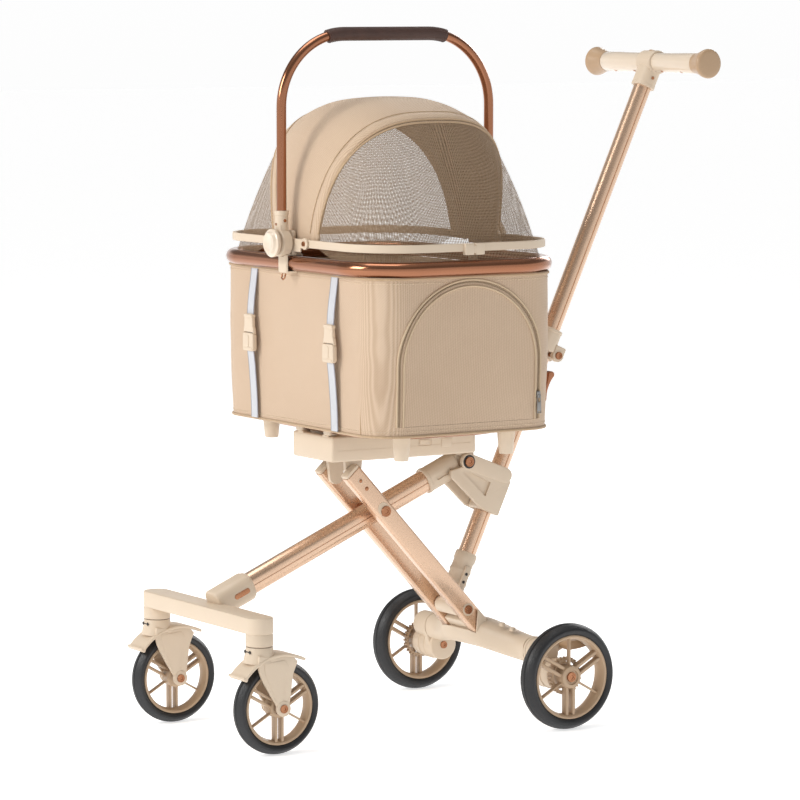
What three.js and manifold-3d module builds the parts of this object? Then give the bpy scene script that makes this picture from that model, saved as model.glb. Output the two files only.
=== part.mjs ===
// Pet stroller: a scissor-folding frame on four wheels that carries a lift-off pet carrier.
// Millimetres, +Z up, -Y is the direction of travel, +X is the left side of the stroller.
import * as THREE from 'three';
import { mergeVertices } from 'three/addons/utils/BufferGeometryUtils.js';
import Module from 'manifold-3d';

const wasm = await Module();
wasm.setup();

// ---------------------------------------------------------------- driving dimensions

const gap = 0.3; // between pieces that touch
const running = 0.8; // between pieces that move past each other

const rearWheel = { diameter: 175, width: 36, rimDiameter: 138, track: 460 };
const frontWheel = { diameter: 152, width: 30, rimDiameter: 120, track: 338, boltRadius: 4 };
const wheelbase = 516;

// Side view of the folding frame, measured from the rear axle's line on the floor: y, z.
const crossPivot = { y: -239, z: 356.5, radius: 6 };
const legTopPivot = { y: -287.5, z: 409.5, radius: 4.5 };
const postPivot = { y: -78, z: 180.7, radius: 5 };
const hub = { y: -61, z: 425, radius: 5, bossRadius: 17 };

const rearLeg = { thick: 20, deep: 32, innerX: 32, foot: 40, crown: 18, wall: 2.5 };
const frontLeg = { wide: 30, tall: 38, angle: 23.6, wall: 2.5 };
const legSleeve = { wide: 35, tall: 45, length: 62, wall: 3 };
const crossbar = { z: 209, tall: 26, deep: 44, postRadius: 22, postDrop: 20 };
const legSocket = { wide: 46, tall: 46, length: 84, reach: 46, depth: 38 };
const caster = { trail: 30, plate: 6, gapToWheel: 3, tail: 64, lip: 140, stem: 9 };

const beam = {
  midY: -38, endY: -12, midZ: 138, endZ: 121, midDeep: 56, midTall: 50, endRadius: 22, end: 150,
};
const bracket = { inner: 146, drumRadius: 26, web: 12, pinRadius: 5, pinShort: 7, clear: 2, stub: 18 };
const pedal = { wide: 26, long: 58, thick: 8, hingeY: 24, hingeZ: 132, pinRadius: 3.5, lug: 7, clear: 4 };

const platform = { wide: 126, front: -348, rear: -70, bottom: 444, top: 486, wall: 4, lug: 8 };
const claw = { thick: 5, innerX: 12.6, radius: 14 };
const hoop = { halfX: 190, halfY: 134, corner: 92, radius: 7, z: 497 };

const post = { angle: 65.4, ahead: 8, radius: 15, groove: 2, bore: 12, hingeAt: 459, barAt: 990 };
const postFoot = { radius: 17.5, length: 92, eye: 14 };
const slider = { lugThick: 9, innerX: 19.5, wall: 5, length: 78, toe: 26, heel: 32 };
const foldHinge = { offset: 21, lug: 11, block: 36, lower: 42, upper: 38, bolt: 4, tongue: 8, floor: 12 };
const lever = { wide: 20, long: 46, thick: 5, pinRadius: 3 };
const tee = { wide: 40, length: 46, wall: 3.5, depth: 8 };
const bar = { radius: 17, half: 131, cap: 25, capLength: 36, wall: 3 };
const button = { radius: 12, tall: 6, sunk: 1.5 };

const basket = { y: -205, bottom: 500, floor: 505, halfX: 255, halfY: 176, corner: 62, wall: 4, taper: 4 };
const rim = { halfX: 258, halfY: 183, corner: 96, radius: 12.5, z: 767 };
const tray = { thick: 8, footX: 206, footY: 100, footTop: 15, footBottom: 11.5, footZ: 459 };
const door = { half: 130, bottom: 518, top: 743 };
const strap = { x: [-126, 130], wide: 20, thick: 1.6, clear: 1.2 };
const buckle = { wide: 34, tall: 62, thick: 14, z: 645 };
const cushion = { inset: 12, tall: 34, corner: 52 };

const bail = { span: 199.5, radius: 8, pivotZ: 800, rise: 336, bend: 118, gripRadius: 11, gripHalf: 120 };
const bailHub = { radius: 22, thick: 18, sleeve: 10.5, sleeveTop: 52, pin: 5 };
const knob = { radius: 23, thick: 12, travel: 3 };
const handleBracket = { wide: 28, thick: 9, top: 20, clamp: 4, wing: 56, wingThick: 3.4, pin: 2.5 };

const canopy = {
  halfX: 252, halfY: 177, height: 240, wall: 2.5, baseBand: 70, topBand: 80, bulge: 2.3, square: 0.72, seam: 2,
};
const meshHem = { halfX: 255, corner: 90, belly: 7 };
const ring = { halfX: 260, halfY: 181, corner: 96, thick: 5, tall: 13, hingeX: 50, eye: 8 };
const latch = { wide: 18, tall: 12, thick: 8 };

// ---------------------------------------------------------------- colours and finishes

const finish = {
  cream: { color: 0xe8d6bc, roughness: 0.55, metalness: 0 },
  creamGloss: { color: 0xead9c2, roughness: 0.25, metalness: 0 },
  tan: { color: 0xb4966f, roughness: 0.5, metalness: 0 },
  copper: { color: 0xc08968, roughness: 0.28, metalness: 0.9 },
  champagne: { color: 0xd7b49b, roughness: 0.35, metalness: 0.8 },
  rubber: { color: 0x1e2024, roughness: 0.75, metalness: 0 },
  leather: { color: 0x4b322a, roughness: 0.6, metalness: 0 },
  weave: { color: 0xdcc5a4, roughness: 0.95, metalness: 0 },
  mesh: { color: 0xcdb799, roughness: 0.95, metalness: 0 },
  webbing: { color: 0xc6cad6, roughness: 0.9, metalness: 0 },
  lining: { color: 0xcbb08d, roughness: 0.95, metalness: 0 },
};

// Sides of a small, a medium and a large round.
const smooth = { small: 10, medium: 16, large: 20 };
// Divisions of the canopy's curved skins.
const patch = { hoodAcross: 6, meshAcross: 4, along: 16 };

// ---------------------------------------------------------------- geometry helpers

const radians = THREE.MathUtils.degToRad;

/** A solid for boolean work from a three.js geometry. */
function toSolid(geometry) {
  const bare = geometry.clone();
  bare.deleteAttribute('normal');
  bare.deleteAttribute('uv');
  const welded = mergeVertices(bare, 1e-4);
  const mesh = new wasm.Mesh({
    numProp: 3,
    vertProperties: new Float32Array(welded.attributes.position.array),
    triVerts: new Uint32Array(welded.index.array),
  });
  mesh.merge();
  return new wasm.Manifold(mesh);
}

/** A three.js geometry from a boolean result. */
function fromSolid(solid) {
  const mesh = solid.getMesh();
  const geometry = new THREE.BufferGeometry();
  geometry.setAttribute('position', new THREE.BufferAttribute(new Float32Array(mesh.vertProperties), 3));
  geometry.setIndex(new THREE.BufferAttribute(new Uint32Array(mesh.triVerts), 1));
  geometry.computeVertexNormals();
  return geometry;
}

function join(first, ...others) {
  return fromSolid(others.reduce((sum, next) => sum.add(toSolid(next)), toSolid(first)));
}

function cut(body, ...tools) {
  return fromSolid(tools.reduce((left, tool) => left.subtract(toSolid(tool)), toSolid(body)));
}

function keepInside(body, space) {
  return fromSolid(toSolid(body).intersect(toSolid(space)));
}

/** Turns a shape drawn in local x, y and extruded along local z into y, z and x. */
const sideways = new THREE.Matrix4().makeBasis(
  new THREE.Vector3(0, 1, 0),
  new THREE.Vector3(0, 0, 1),
  new THREE.Vector3(1, 0, 0),
);

/** A plate with its outline in the side view, from x0 to x1. */
function sidePlate(shape, x0, x1, curveSegments = 5) {
  const plate = new THREE.ExtrudeGeometry(shape, { depth: x1 - x0, bevelEnabled: false, curveSegments });
  return plate.translate(0, 0, x0).applyMatrix4(sideways);
}

function box(x0, x1, y0, y1, z0, z1) {
  const solid = new THREE.BoxGeometry(x1 - x0, y1 - y0, z1 - z0);
  return solid.translate((x0 + x1) / 2, (y0 + y1) / 2, (z0 + z1) / 2);
}

function cylinderX(radius, x0, x1, y = 0, z = 0, sides = smooth.small) {
  const solid = new THREE.CylinderGeometry(radius, radius, Math.abs(x1 - x0), sides);
  return solid.rotateZ(Math.PI / 2).translate((x0 + x1) / 2, y, z);
}

function cylinderY(radius, y0, y1, x = 0, z = 0, sides = smooth.small) {
  const solid = new THREE.CylinderGeometry(radius, radius, Math.abs(y1 - y0), sides);
  return solid.translate(x, (y0 + y1) / 2, z);
}

function cylinderZ(radius, z0, z1, x = 0, y = 0, sides = smooth.small, topRadius = radius) {
  const solid = new THREE.CylinderGeometry(topRadius, radius, z1 - z0, sides);
  return solid.rotateX(Math.PI / 2).translate(x, y, (z0 + z1) / 2);
}

/** A rounded rectangle centred on the origin. */
function roundedRectangle(wide, tall, radius) {
  const w = wide / 2;
  const h = tall / 2;
  const r = Math.min(radius, w, h);
  const shape = new THREE.Shape();
  shape.moveTo(-w + r, -h);
  shape.lineTo(w - r, -h);
  shape.absarc(w - r, -h + r, r, -Math.PI / 2, 0);
  shape.lineTo(w, h - r);
  shape.absarc(w - r, h - r, r, 0, Math.PI / 2);
  shape.lineTo(-w + r, h);
  shape.absarc(-w + r, h - r, r, Math.PI / 2, Math.PI);
  shape.lineTo(-w, -h + r);
  shape.absarc(-w + r, -h + r, r, Math.PI, Math.PI * 1.5);
  return shape;
}

/** The convex outline round two circles in the side view: a link with rounded ends. */
function linkShape(a, radiusA, b, radiusB) {
  const along = Math.atan2(b.z - a.z, b.y - a.y);
  const spread = Math.acos((radiusA - radiusB) / Math.hypot(b.y - a.y, b.z - a.z));
  const shape = new THREE.Shape();
  shape.absarc(a.y, a.z, radiusA, along + spread, along - spread + Math.PI * 2);
  shape.absarc(b.y, b.z, radiusB, along - spread, along + spread);
  return shape;
}

/** A straight bar drawn as a shape in local x, y and standing from z = 0 to its length. */
function prism(shape, length, curveSegments = 4) {
  return new THREE.ExtrudeGeometry(shape, { depth: length, bevelEnabled: false, curveSegments });
}

/** Points of a rounded rectangle as a closed loop at one height. */
function loopPoints(halfX, halfY, corner, z, steps = 4) {
  const points = [];
  for (const [cx, cy, start] of [[1, -1, -90], [1, 1, 0], [-1, 1, 90], [-1, -1, 180]]) {
    for (let step = 0; step <= steps; step += 1) {
      const turn = radians(start + (90 * step) / steps);
      const x = cx * (halfX - corner) + corner * Math.cos(turn);
      const y = cy * (halfY - corner) + corner * Math.sin(turn);
      points.push(new THREE.Vector3(x, y, z));
    }
  }
  return points;
}

/** Skins rings of equal count; closed joins the last ring to the first, otherwise the ends are capped. */
function loft(rings, closed = false) {
  const count = rings[0].length;
  const points = rings.flat();
  const faces = [];
  const spans = closed ? rings.length : rings.length - 1;
  for (let ring = 0; ring < spans; ring += 1) {
    const here = ring * count;
    const next = ((ring + 1) % rings.length) * count;
    for (let side = 0; side < count; side += 1) {
      const far = (side + 1) % count;
      faces.push(here + side, here + far, next + far);
      faces.push(here + side, next + far, next + side);
    }
  }
  if (!closed) {
    for (const [ring, turned] of [[0, true], [rings.length - 1, false]]) {
      const middle = points.length;
      points.push(centreOf(rings[ring]));
      for (let side = 0; side < count; side += 1) {
        const a = ring * count + side;
        const b = ring * count + ((side + 1) % count);
        faces.push(...(turned ? [middle, b, a] : [middle, a, b]));
      }
    }
  }
  return outwards(points, faces);
}

function centreOf(points) {
  const sum = points.reduce((total, point) => total.add(point), new THREE.Vector3());
  return sum.divideScalar(points.length);
}

/** Builds the geometry and turns its faces outward if they enclose a negative volume. */
function outwards(points, faces) {
  let volume = 0;
  for (let corner = 0; corner < faces.length; corner += 3) {
    const [a, b, c] = [0, 1, 2].map((offset) => points[faces[corner + offset]]);
    volume += a.dot(new THREE.Vector3().crossVectors(b, c));
  }
  if (volume < 0) {
    faces.reverse();
  }
  const geometry = new THREE.BufferGeometry().setFromPoints(points);
  geometry.setIndex(faces);
  geometry.computeVertexNormals();
  return geometry;
}

/** A closed hoop: a round or flat section carried along a rounded rectangle. */
function hoopSolid(halfX, halfY, corner, z, section, steps = 5) {
  const path = loopPoints(halfX, halfY, corner, z, steps);
  const rings = path.map((point, index) => {
    const before = path[(index + path.length - 1) % path.length];
    const after = path[(index + 1) % path.length];
    const ahead = new THREE.Vector3().subVectors(after, before).normalize();
    const out = new THREE.Vector3(ahead.y, -ahead.x, 0);
    return section.map(([o, u]) => point.clone().addScaledVector(out, o).setZ(point.z + u));
  });
  return loft(rings, true);
}

function circleSection(radius, sides) {
  return Array.from({ length: sides }, (_, index) => {
    const turn = (index / sides) * Math.PI * 2;
    return [radius * Math.cos(turn), radius * Math.sin(turn)];
  });
}

/** A skin of even thickness between an outer and an inner surface, each given as f(u, v). */
function thickPatch(outer, inner, across, along) {
  const points = [];
  const faces = [];
  for (const surface of [outer, inner]) {
    for (let i = 0; i <= across; i += 1) {
      for (let j = 0; j <= along; j += 1) {
        points.push(surface(i / across, j / along));
      }
    }
  }
  const layer = (across + 1) * (along + 1);
  const at = (side, i, j) => side * layer + i * (along + 1) + j;
  for (let i = 0; i < across; i += 1) {
    for (let j = 0; j < along; j += 1) {
      faces.push(at(0, i, j), at(0, i + 1, j), at(0, i + 1, j + 1));
      faces.push(at(0, i, j), at(0, i + 1, j + 1), at(0, i, j + 1));
      faces.push(at(1, i, j), at(1, i + 1, j + 1), at(1, i + 1, j));
      faces.push(at(1, i, j), at(1, i, j + 1), at(1, i + 1, j + 1));
    }
  }
  const wall = (a, b) => faces.push(a[0], a[1], b[1], a[0], b[1], b[0]);
  const pair = (i, j) => [at(0, i, j), at(1, i, j)];
  for (let i = 0; i < across; i += 1) {
    wall(pair(i, 0), pair(i + 1, 0));
    wall(pair(i + 1, along), pair(i, along));
  }
  for (let j = 0; j < along; j += 1) {
    wall(pair(0, j + 1), pair(0, j));
    wall(pair(across, j), pair(across, j + 1));
  }
  return outwards(points, faces);
}

/** A named mesh with its finish. */
function part(name, geometry, look, position = [0, 0, 0], rotation = [0, 0, 0]) {
  const mesh = new THREE.Mesh(geometry, new THREE.MeshStandardMaterial({ ...look, name: `${name}_finish` }));
  mesh.name = name;
  mesh.position.set(...position);
  mesh.rotation.set(...rotation);
  return mesh;
}

function group(position, rotation, ...children) {
  const holder = new THREE.Group();
  holder.position.set(...position);
  holder.rotation.set(...rotation);
  holder.add(...children);
  return holder;
}

const sides = [['left', 1], ['right', -1]];

// ---------------------------------------------------------------- wheels

function tyre(name, wheel) {
  const outer = wheel.diameter / 2;
  const inner = wheel.rimDiameter / 2 + gap;
  const half = wheel.width / 2;
  const shoulder = (outer - inner) * 0.55;
  const profile = new THREE.SplineCurve([
    new THREE.Vector2(inner, half - 4),
    new THREE.Vector2(inner + 3, half - 1),
    new THREE.Vector2(outer - shoulder, half),
    new THREE.Vector2(outer - 2.5, half * 0.55),
    new THREE.Vector2(outer, 0),
    new THREE.Vector2(outer - 2.5, -half * 0.55),
    new THREE.Vector2(outer - shoulder, -half),
    new THREE.Vector2(inner + 3, -half + 1),
    new THREE.Vector2(inner, -half + 4),
  ]).getPoints(10);
  const closedProfile = [...profile, profile[0].clone()].reverse();
  const geometry = new THREE.LatheGeometry(closedProfile, smooth.large).rotateZ(-Math.PI / 2);
  return part(name, geometry, finish.rubber);
}

/** Rim with three twin spokes and three thin ribs between them. */
function wheelRim(name, wheel, side) {
  const outer = wheel.rimDiameter / 2;
  const half = wheel.width / 2 - 4;
  const hubRadius = wheel.diameter * 0.115;
  const lip = 5;
  const hoopPart = cut(
    cylinderX(outer, -half, half, 0, 0, smooth.large),
    cylinderX(outer - lip, -half - 1, half + 1, 0, 0, smooth.large),
  );
  const web = 7 * side;
  const bars = [];
  for (let spoke = 0; spoke < 3; spoke += 1) {
    const turn = radians(120 * spoke - 90);
    for (const [offset, wide, shift] of [[-6.5, 5, 0], [6.5, 5, 0], [0, 3, Math.PI / 3]]) {
      const reach = outer - lip / 2;
      const spokeBar = box(web - 5, web + 5, 0, reach, offset - wide / 2, offset + wide / 2);
      bars.push(spokeBar.rotateX(turn + shift));
    }
  }
  const body = join(hoopPart, ...bars, cylinderX(hubRadius, -half, half, 0, 0, smooth.medium));
  const bore = cylinderX(wheel.boltRadius + gap, -half - 1, half + 1, 0, 0, smooth.small);
  const recess = cylinderX(wheel.boltRadius + 4, side * (half - 3), side * (half + 1), 0, 0, smooth.small);
  return part(name, cut(body, bore, recess), finish.cream);
}

// ---------------------------------------------------------------- rear frame

const legLength = Math.hypot(legTopPivot.y - postPivot.y, legTopPivot.z - postPivot.z);
const legTilt = Math.atan2(legTopPivot.y - postPivot.y, legTopPivot.z - postPivot.z);

/** One rectangular rear leg, cut square past its top pivot and at the foot. */
function rearLegPart(name, side) {
  const outline = new THREE.Shape();
  const deep = rearLeg.deep / 2;
  outline.moveTo(-deep, -rearLeg.foot);
  outline.lineTo(deep, -rearLeg.foot);
  outline.lineTo(deep, legLength + rearLeg.crown);
  outline.lineTo(-deep, legLength + rearLeg.crown);
  outline.lineTo(-deep, -rearLeg.foot);
  const x0 = rearLeg.innerX;
  const blank = sidePlate(outline, x0, x0 + rearLeg.thick);
  const length = legLength - rearLeg.foot * 0.2;
  const hollow = sidePlate(
    roundedRectangle(rearLeg.deep - rearLeg.wall * 2, length, 3),
    x0 + rearLeg.wall,
    x0 + rearLeg.thick - rearLeg.wall,
  ).translate(0, 0, -rearLeg.foot + length / 2 - 1);
  const along = Math.hypot(crossPivot.y - postPivot.y, crossPivot.z - postPivot.z);
  const holes = [[0, postPivot.radius], [along, crossPivot.radius], [legLength, legTopPivot.radius]].map(
    ([z, radius]) => cylinderX(radius + gap, x0 - 1, x0 + rearLeg.thick + 1, 0, z, smooth.small),
  );
  const bosses = [[0, postPivot.radius], [along, crossPivot.radius]].map(([z, radius]) =>
    cylinderX(radius + 4, x0 + 1, x0 + rearLeg.thick - 1, 0, z, smooth.small),
  );
  const hollowLeg = join(cut(blank, hollow), ...bosses);
  const geometry = cut(hollowLeg, ...holes);
  if (side < 0) {
    geometry.translate(-2 * x0 - rearLeg.thick, 0, 0);
  }
  return part(name, geometry, finish.champagne, [0, postPivot.y, postPivot.z], [-legTilt, 0, 0]);
}

/** Lofted cream beam: wide and raised where the legs bolt on, round at its ends. */
function rearAxleBeam() {
  const rings = [];
  const stations = 12;
  for (let station = 0; station <= stations; station += 1) {
    const along = (station / stations) * 2 - 1;
    const spread = 1 - THREE.MathUtils.smoothstep(Math.abs(along), 0.25, 0.95);
    const y = beam.endY + (beam.midY - beam.endY) * spread;
    const z = beam.endZ + (beam.midZ - beam.endZ) * spread;
    const halfY = beam.endRadius + (beam.midDeep / 2 - beam.endRadius) * spread;
    const halfZ = beam.endRadius + (beam.midTall / 2 - beam.endRadius) * spread;
    rings.push(Array.from({ length: smooth.medium }, (_, index) => {
      const turn = (index / smooth.medium) * Math.PI * 2;
      return new THREE.Vector3(along * beam.end, y + halfY * Math.cos(turn), z + halfZ * Math.sin(turn));
    }));
  }
  const seat = box(-rearLeg.innerX - rearLeg.thick - gap, rearLeg.innerX + rearLeg.thick + gap,
    -rearLeg.deep / 2 - gap, rearLeg.deep / 2 + gap, -rearLeg.foot - gap, legLength);
  seat.rotateX(-legTilt).translate(0, postPivot.y, postPivot.z);
  const body = cut(loft(rings), seat);
  const web = box(-rearLeg.innerX + gap, rearLeg.innerX - gap, -12, 12, -rearLeg.foot - 6, -22);
  web.rotateX(-legTilt).translate(0, postPivot.y, postPivot.z);
  return part('rear_axle_beam', join(body, web), finish.cream);
}

/** End bracket: a barrel on the beam's end, a web and a drum round the wheel's axle pin. */
function wheelBracket(name, side) {
  const axleZ = rearWheel.diameter / 2;
  const outer = rearWheel.track / 2 - rearWheel.width / 2 - bracket.clear;
  const pinEnd = rearWheel.track / 2 + rearWheel.width / 2 - bracket.pinShort;
  const barrel = { y: beam.endY, z: beam.endZ };
  const drum = { y: 0, z: axleZ };
  const web = sidePlate(linkShape(barrel, beam.endRadius, drum, bracket.drumRadius),
    beam.end + gap, beam.end + bracket.web);
  const pedalX = rearWheel.track / 2 - rearWheel.width / 2 - pedal.clear - pedal.wide;
  const pedalAxis = { y: pedal.hingeY, z: pedal.hingeZ };
  const body = join(
    web,
    sidePlate(linkShape(barrel, pedal.lug * 2, pedalAxis, pedal.lug), pedalX - running - 5, pedalX - running),
    cylinderX(pedal.pinRadius, pedalX - 2, pedalX + pedal.wide - 1, pedalAxis.y, pedalAxis.z),
    cylinderX(bracket.drumRadius, bracket.inner, outer, 0, axleZ, smooth.medium),
    cylinderX(beam.endRadius, beam.end + gap, outer - bracket.stub, barrel.y, barrel.z, smooth.medium),
    cylinderX(bracket.pinRadius, outer - 4, pinEnd, 0, axleZ),
  );
  const notch = cylinderX(beam.endRadius + gap, bracket.inner - 1, beam.end + gap,
    barrel.y, barrel.z, smooth.medium);
  const geometry = cut(body, notch);
  return part(name, side > 0 ? geometry : mirrored(geometry), finish.cream);
}

/** Mirror image across x = 0. */
function mirrored(geometry) {
  const copy = geometry.clone().scale(-1, 1, 1);
  const index = copy.index.array;
  for (let corner = 0; corner < index.length; corner += 3) {
    [index[corner], index[corner + 1]] = [index[corner + 1], index[corner]];
  }
  copy.computeVertexNormals();
  return copy;
}

/** A shouldered bolt along x with a round head at each end. */
function crossBolt(name, pivot, halfLength, headRadius, headThick = 3) {
  const body = join(
    cylinderX(pivot.radius, -halfLength - 1, halfLength + 1, 0, 0, smooth.small),
    cylinderX(headRadius, halfLength, halfLength + headThick, 0, 0, smooth.small),
    cylinderX(headRadius, -halfLength - headThick, -halfLength, 0, 0, smooth.small),
  );
  return part(name, body, finish.copper, [0, pivot.y, pivot.z]);
}

/** Foot pedal that drops a pawl into the wheel's ribbed hub ring. */
function brakePedal(name, side) {
  const x0 = rearWheel.track / 2 - rearWheel.width / 2 - pedal.clear - pedal.wide;
  const pad = new THREE.Shape();
  pad.moveTo(-7, -7);
  pad.lineTo(pedal.long, pedal.thick * 0.4);
  pad.lineTo(pedal.long, pedal.thick * 1.4);
  pad.lineTo(0, 8);
  pad.absarc(0, 0, 8, Math.PI / 2, Math.PI * 1.25);
  const geometry = cut(
    sidePlate(pad, x0, x0 + pedal.wide),
    cylinderX(pedal.pinRadius + gap, x0 - 1, x0 + pedal.wide + 1),
  );
  const placed = side > 0 ? geometry : mirrored(geometry);
  return part(name, placed, finish.tan, [0, pedal.hingeY, pedal.hingeZ]);
}

// ---------------------------------------------------------------- front frame

// The front leg's line runs down and forward from the hub; distances along it are negative from there.
const frontTilt = radians(frontLeg.angle);
const frontAlong = (distance) => ({
  y: hub.y + distance * Math.cos(frontTilt),
  z: hub.z + distance * Math.sin(frontTilt),
});
const swivelY = -wheelbase - caster.trail;
const sleeveStart = -hub.bossRadius - legSleeve.length;
const legBottom = (swivelY - hub.y) / Math.cos(frontTilt) + legSocket.reach;
const crossOnLeg = {
  along: (crossPivot.y - hub.y) * Math.cos(frontTilt) + (crossPivot.z - hub.z) * Math.sin(frontTilt),
  above: (crossPivot.z - hub.z) * Math.cos(frontTilt) - (crossPivot.y - hub.y) * Math.sin(frontTilt),
};

/** Oval tube, drawn standing and laid along the front leg's line. */
function frontLegPart() {
  const from = legBottom;
  const to = sleeveStart + legSleeve.length * 0.55;
  const outer = prism(roundedRectangle(frontLeg.wide, frontLeg.tall, frontLeg.wide / 2), to - from);
  const innerShape = roundedRectangle(
    frontLeg.wide - frontLeg.wall * 2,
    frontLeg.tall - frontLeg.wall * 2,
    frontLeg.wide / 2 - frontLeg.wall,
  );
  const hollow = prism(innerShape, to - from + 2).translate(0, 0, -1);
  const crossAt = [-crossOnLeg.above, crossOnLeg.along - from];
  const bush = cylinderX(crossPivot.radius + 4, -frontLeg.wide / 2 + 1, frontLeg.wide / 2 - 1, ...crossAt);
  const hole = cylinderX(crossPivot.radius + gap, -frontLeg.wide, frontLeg.wide, ...crossAt, smooth.medium);
  const geometry = cut(join(cut(outer, hollow), bush), hole);
  const start = frontAlong(from);
  return part('front_leg', geometry, finish.champagne, [0, start.y, start.z], [frontTilt - Math.PI / 2, 0, 0]);
}

/** Cream sleeve over the leg's top end with the eye for the hub bolt. */
function frontLegTopJoint() {
  const inner = roundedRectangle(frontLeg.wide + gap * 2, frontLeg.tall + gap * 2, frontLeg.wide / 2 + gap);
  const outer = roundedRectangle(legSleeve.wide, legSleeve.tall, legSleeve.wide / 2);
  const seat = legSleeve.length * 0.55 + gap;
  const sleeve = cut(prism(outer, legSleeve.length), prism(inner, seat + 1).translate(0, 0, -1));
  const eyeHalf = claw.innerX - running;
  const reach = -sleeveStart;
  const eye = join(
    cylinderX(hub.bossRadius, -eyeHalf, eyeHalf, 0, reach, smooth.medium),
    box(-eyeHalf, eyeHalf, -hub.bossRadius, hub.bossRadius, legSleeve.length - 4, reach),
  );
  const hole = cylinderX(hub.radius + gap, -eyeHalf - 1, eyeHalf + 1, 0, reach, smooth.small);
  const start = frontAlong(sleeveStart);
  const geometry = cut(join(sleeve, eye), hole);
  return part('front_leg_top_joint', geometry, finish.cream, [0, start.y, start.z],
    [frontTilt - Math.PI / 2, 0, 0]);
}

/** Crossbar with the caster posts at its ends and the socket for the front leg. */
function frontCrossbar() {
  const halfTrack = frontWheel.track / 2;
  const ends = halfTrack + crossbar.postRadius;
  const barShape = roundedRectangle(ends * 2, crossbar.deep, crossbar.deep / 2);
  const bottom = crossbar.z - crossbar.tall / 2;
  const top = crossbar.z + crossbar.tall / 2;
  const blank = prism(barShape, crossbar.tall, 5).translate(0, swivelY, bottom);
  const posts = sides.map(([, side]) => cylinderZ(crossbar.postRadius, bottom - crossbar.postDrop, bottom + 2,
    side * halfTrack, swivelY, smooth.medium));
  const mouth = frontAlong(legBottom);
  const socket = prism(roundedRectangle(legSocket.wide, legSocket.tall, 14), legSocket.length);
  socket.translate(0, 0, legSocket.depth - legSocket.length);
  socket.rotateX(frontTilt - Math.PI / 2).translate(0, mouth.y, mouth.z);
  const above = box(-60, 60, swivelY - crossbar.deep / 2 + 4, swivelY + 140, bottom, top + 80);
  const tubeRoom = roundedRectangle(frontLeg.wide + gap * 2, frontLeg.tall + gap * 2, frontLeg.wide / 2 + gap);
  const bore = prism(tubeRoom, legSocket.length).translate(0, 0, -gap);
  bore.rotateX(frontTilt - Math.PI / 2).translate(0, mouth.y, mouth.z);
  const body = join(blank, ...posts, keepInside(socket, above));
  const stems = sides.map(([, side]) => cylinderZ(caster.stem + running, bottom - crossbar.postDrop - 1,
    bottom + 8, side * halfTrack, swivelY, smooth.small));
  return part('front_crossbar', cut(body, bore, ...stems), finish.cream);
}

/** Caster: swivel cap, king pin, fender and the two fork plates down to the wheel's bolt. */
function casterFork(name) {
  const axleZ = frontWheel.diameter / 2;
  const seam = crossbar.z - crossbar.tall / 2 - crossbar.postDrop - running;
  const halfWidth = frontWheel.width / 2 + caster.gapToWheel;
  const crown = frontWheel.diameter / 2 + 8;
  const outline = new THREE.Shape();
  outline.moveTo(-20, seam - axleZ - 14);
  outline.lineTo(-14 - caster.trail, seam - axleZ - 10);
  outline.lineTo(-14 - caster.trail, crown * 0.55);
  outline.lineTo(-11, 4);
  outline.absarc(0, 0, 11.5, Math.PI, Math.PI * 2);
  outline.lineTo(17, crown * 0.62);
  outline.lineTo(26, crown * 0.88);
  outline.lineTo(14, seam - axleZ - 12);
  const plates = [-1, 1].map((side) => {
    const x = side * (halfWidth + caster.plate / 2);
    return sidePlate(outline, x - caster.plate / 2, x + caster.plate / 2);
  });
  const ringShape = new THREE.Shape();
  ringShape.absarc(0, 0, crown + 4, radians(caster.tail), radians(caster.lip));
  ringShape.absarc(0, 0, crown - 1, radians(caster.lip), radians(caster.tail), true);
  const fender = sidePlate(ringShape, -halfWidth - caster.plate, halfWidth + caster.plate, 10);
  const stemY = -caster.trail;
  const cap = cylinderZ(crossbar.postRadius, crown - 14, seam - axleZ, 0, stemY, smooth.medium);
  const pinTop = seam - axleZ + crossbar.postDrop + 6;
  const pin = cylinderZ(caster.stem, seam - axleZ - 2, pinTop, 0, stemY, smooth.small);
  const room = cylinderX(crown - 1, -halfWidth, halfWidth, 0, 0, smooth.large);
  const body = cut(join(...plates, fender, cap, pin), room);
  const bore = cylinderX(frontWheel.boltRadius + gap, -halfWidth - 20, halfWidth + 20);
  return part(name, cut(body, bore), finish.cream);
}

function frontAxleBolt(name) {
  const half = frontWheel.width / 2 + caster.gapToWheel + caster.plate;
  const body = join(
    cylinderX(frontWheel.boltRadius, -half - 1, half + 1),
    cylinderX(7, half + gap, half + 3.5),
    cylinderX(7, -half - 3.5, -half - gap),
  );
  return part(name, body, finish.copper);
}

// ---------------------------------------------------------------- platform under the carrier

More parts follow.
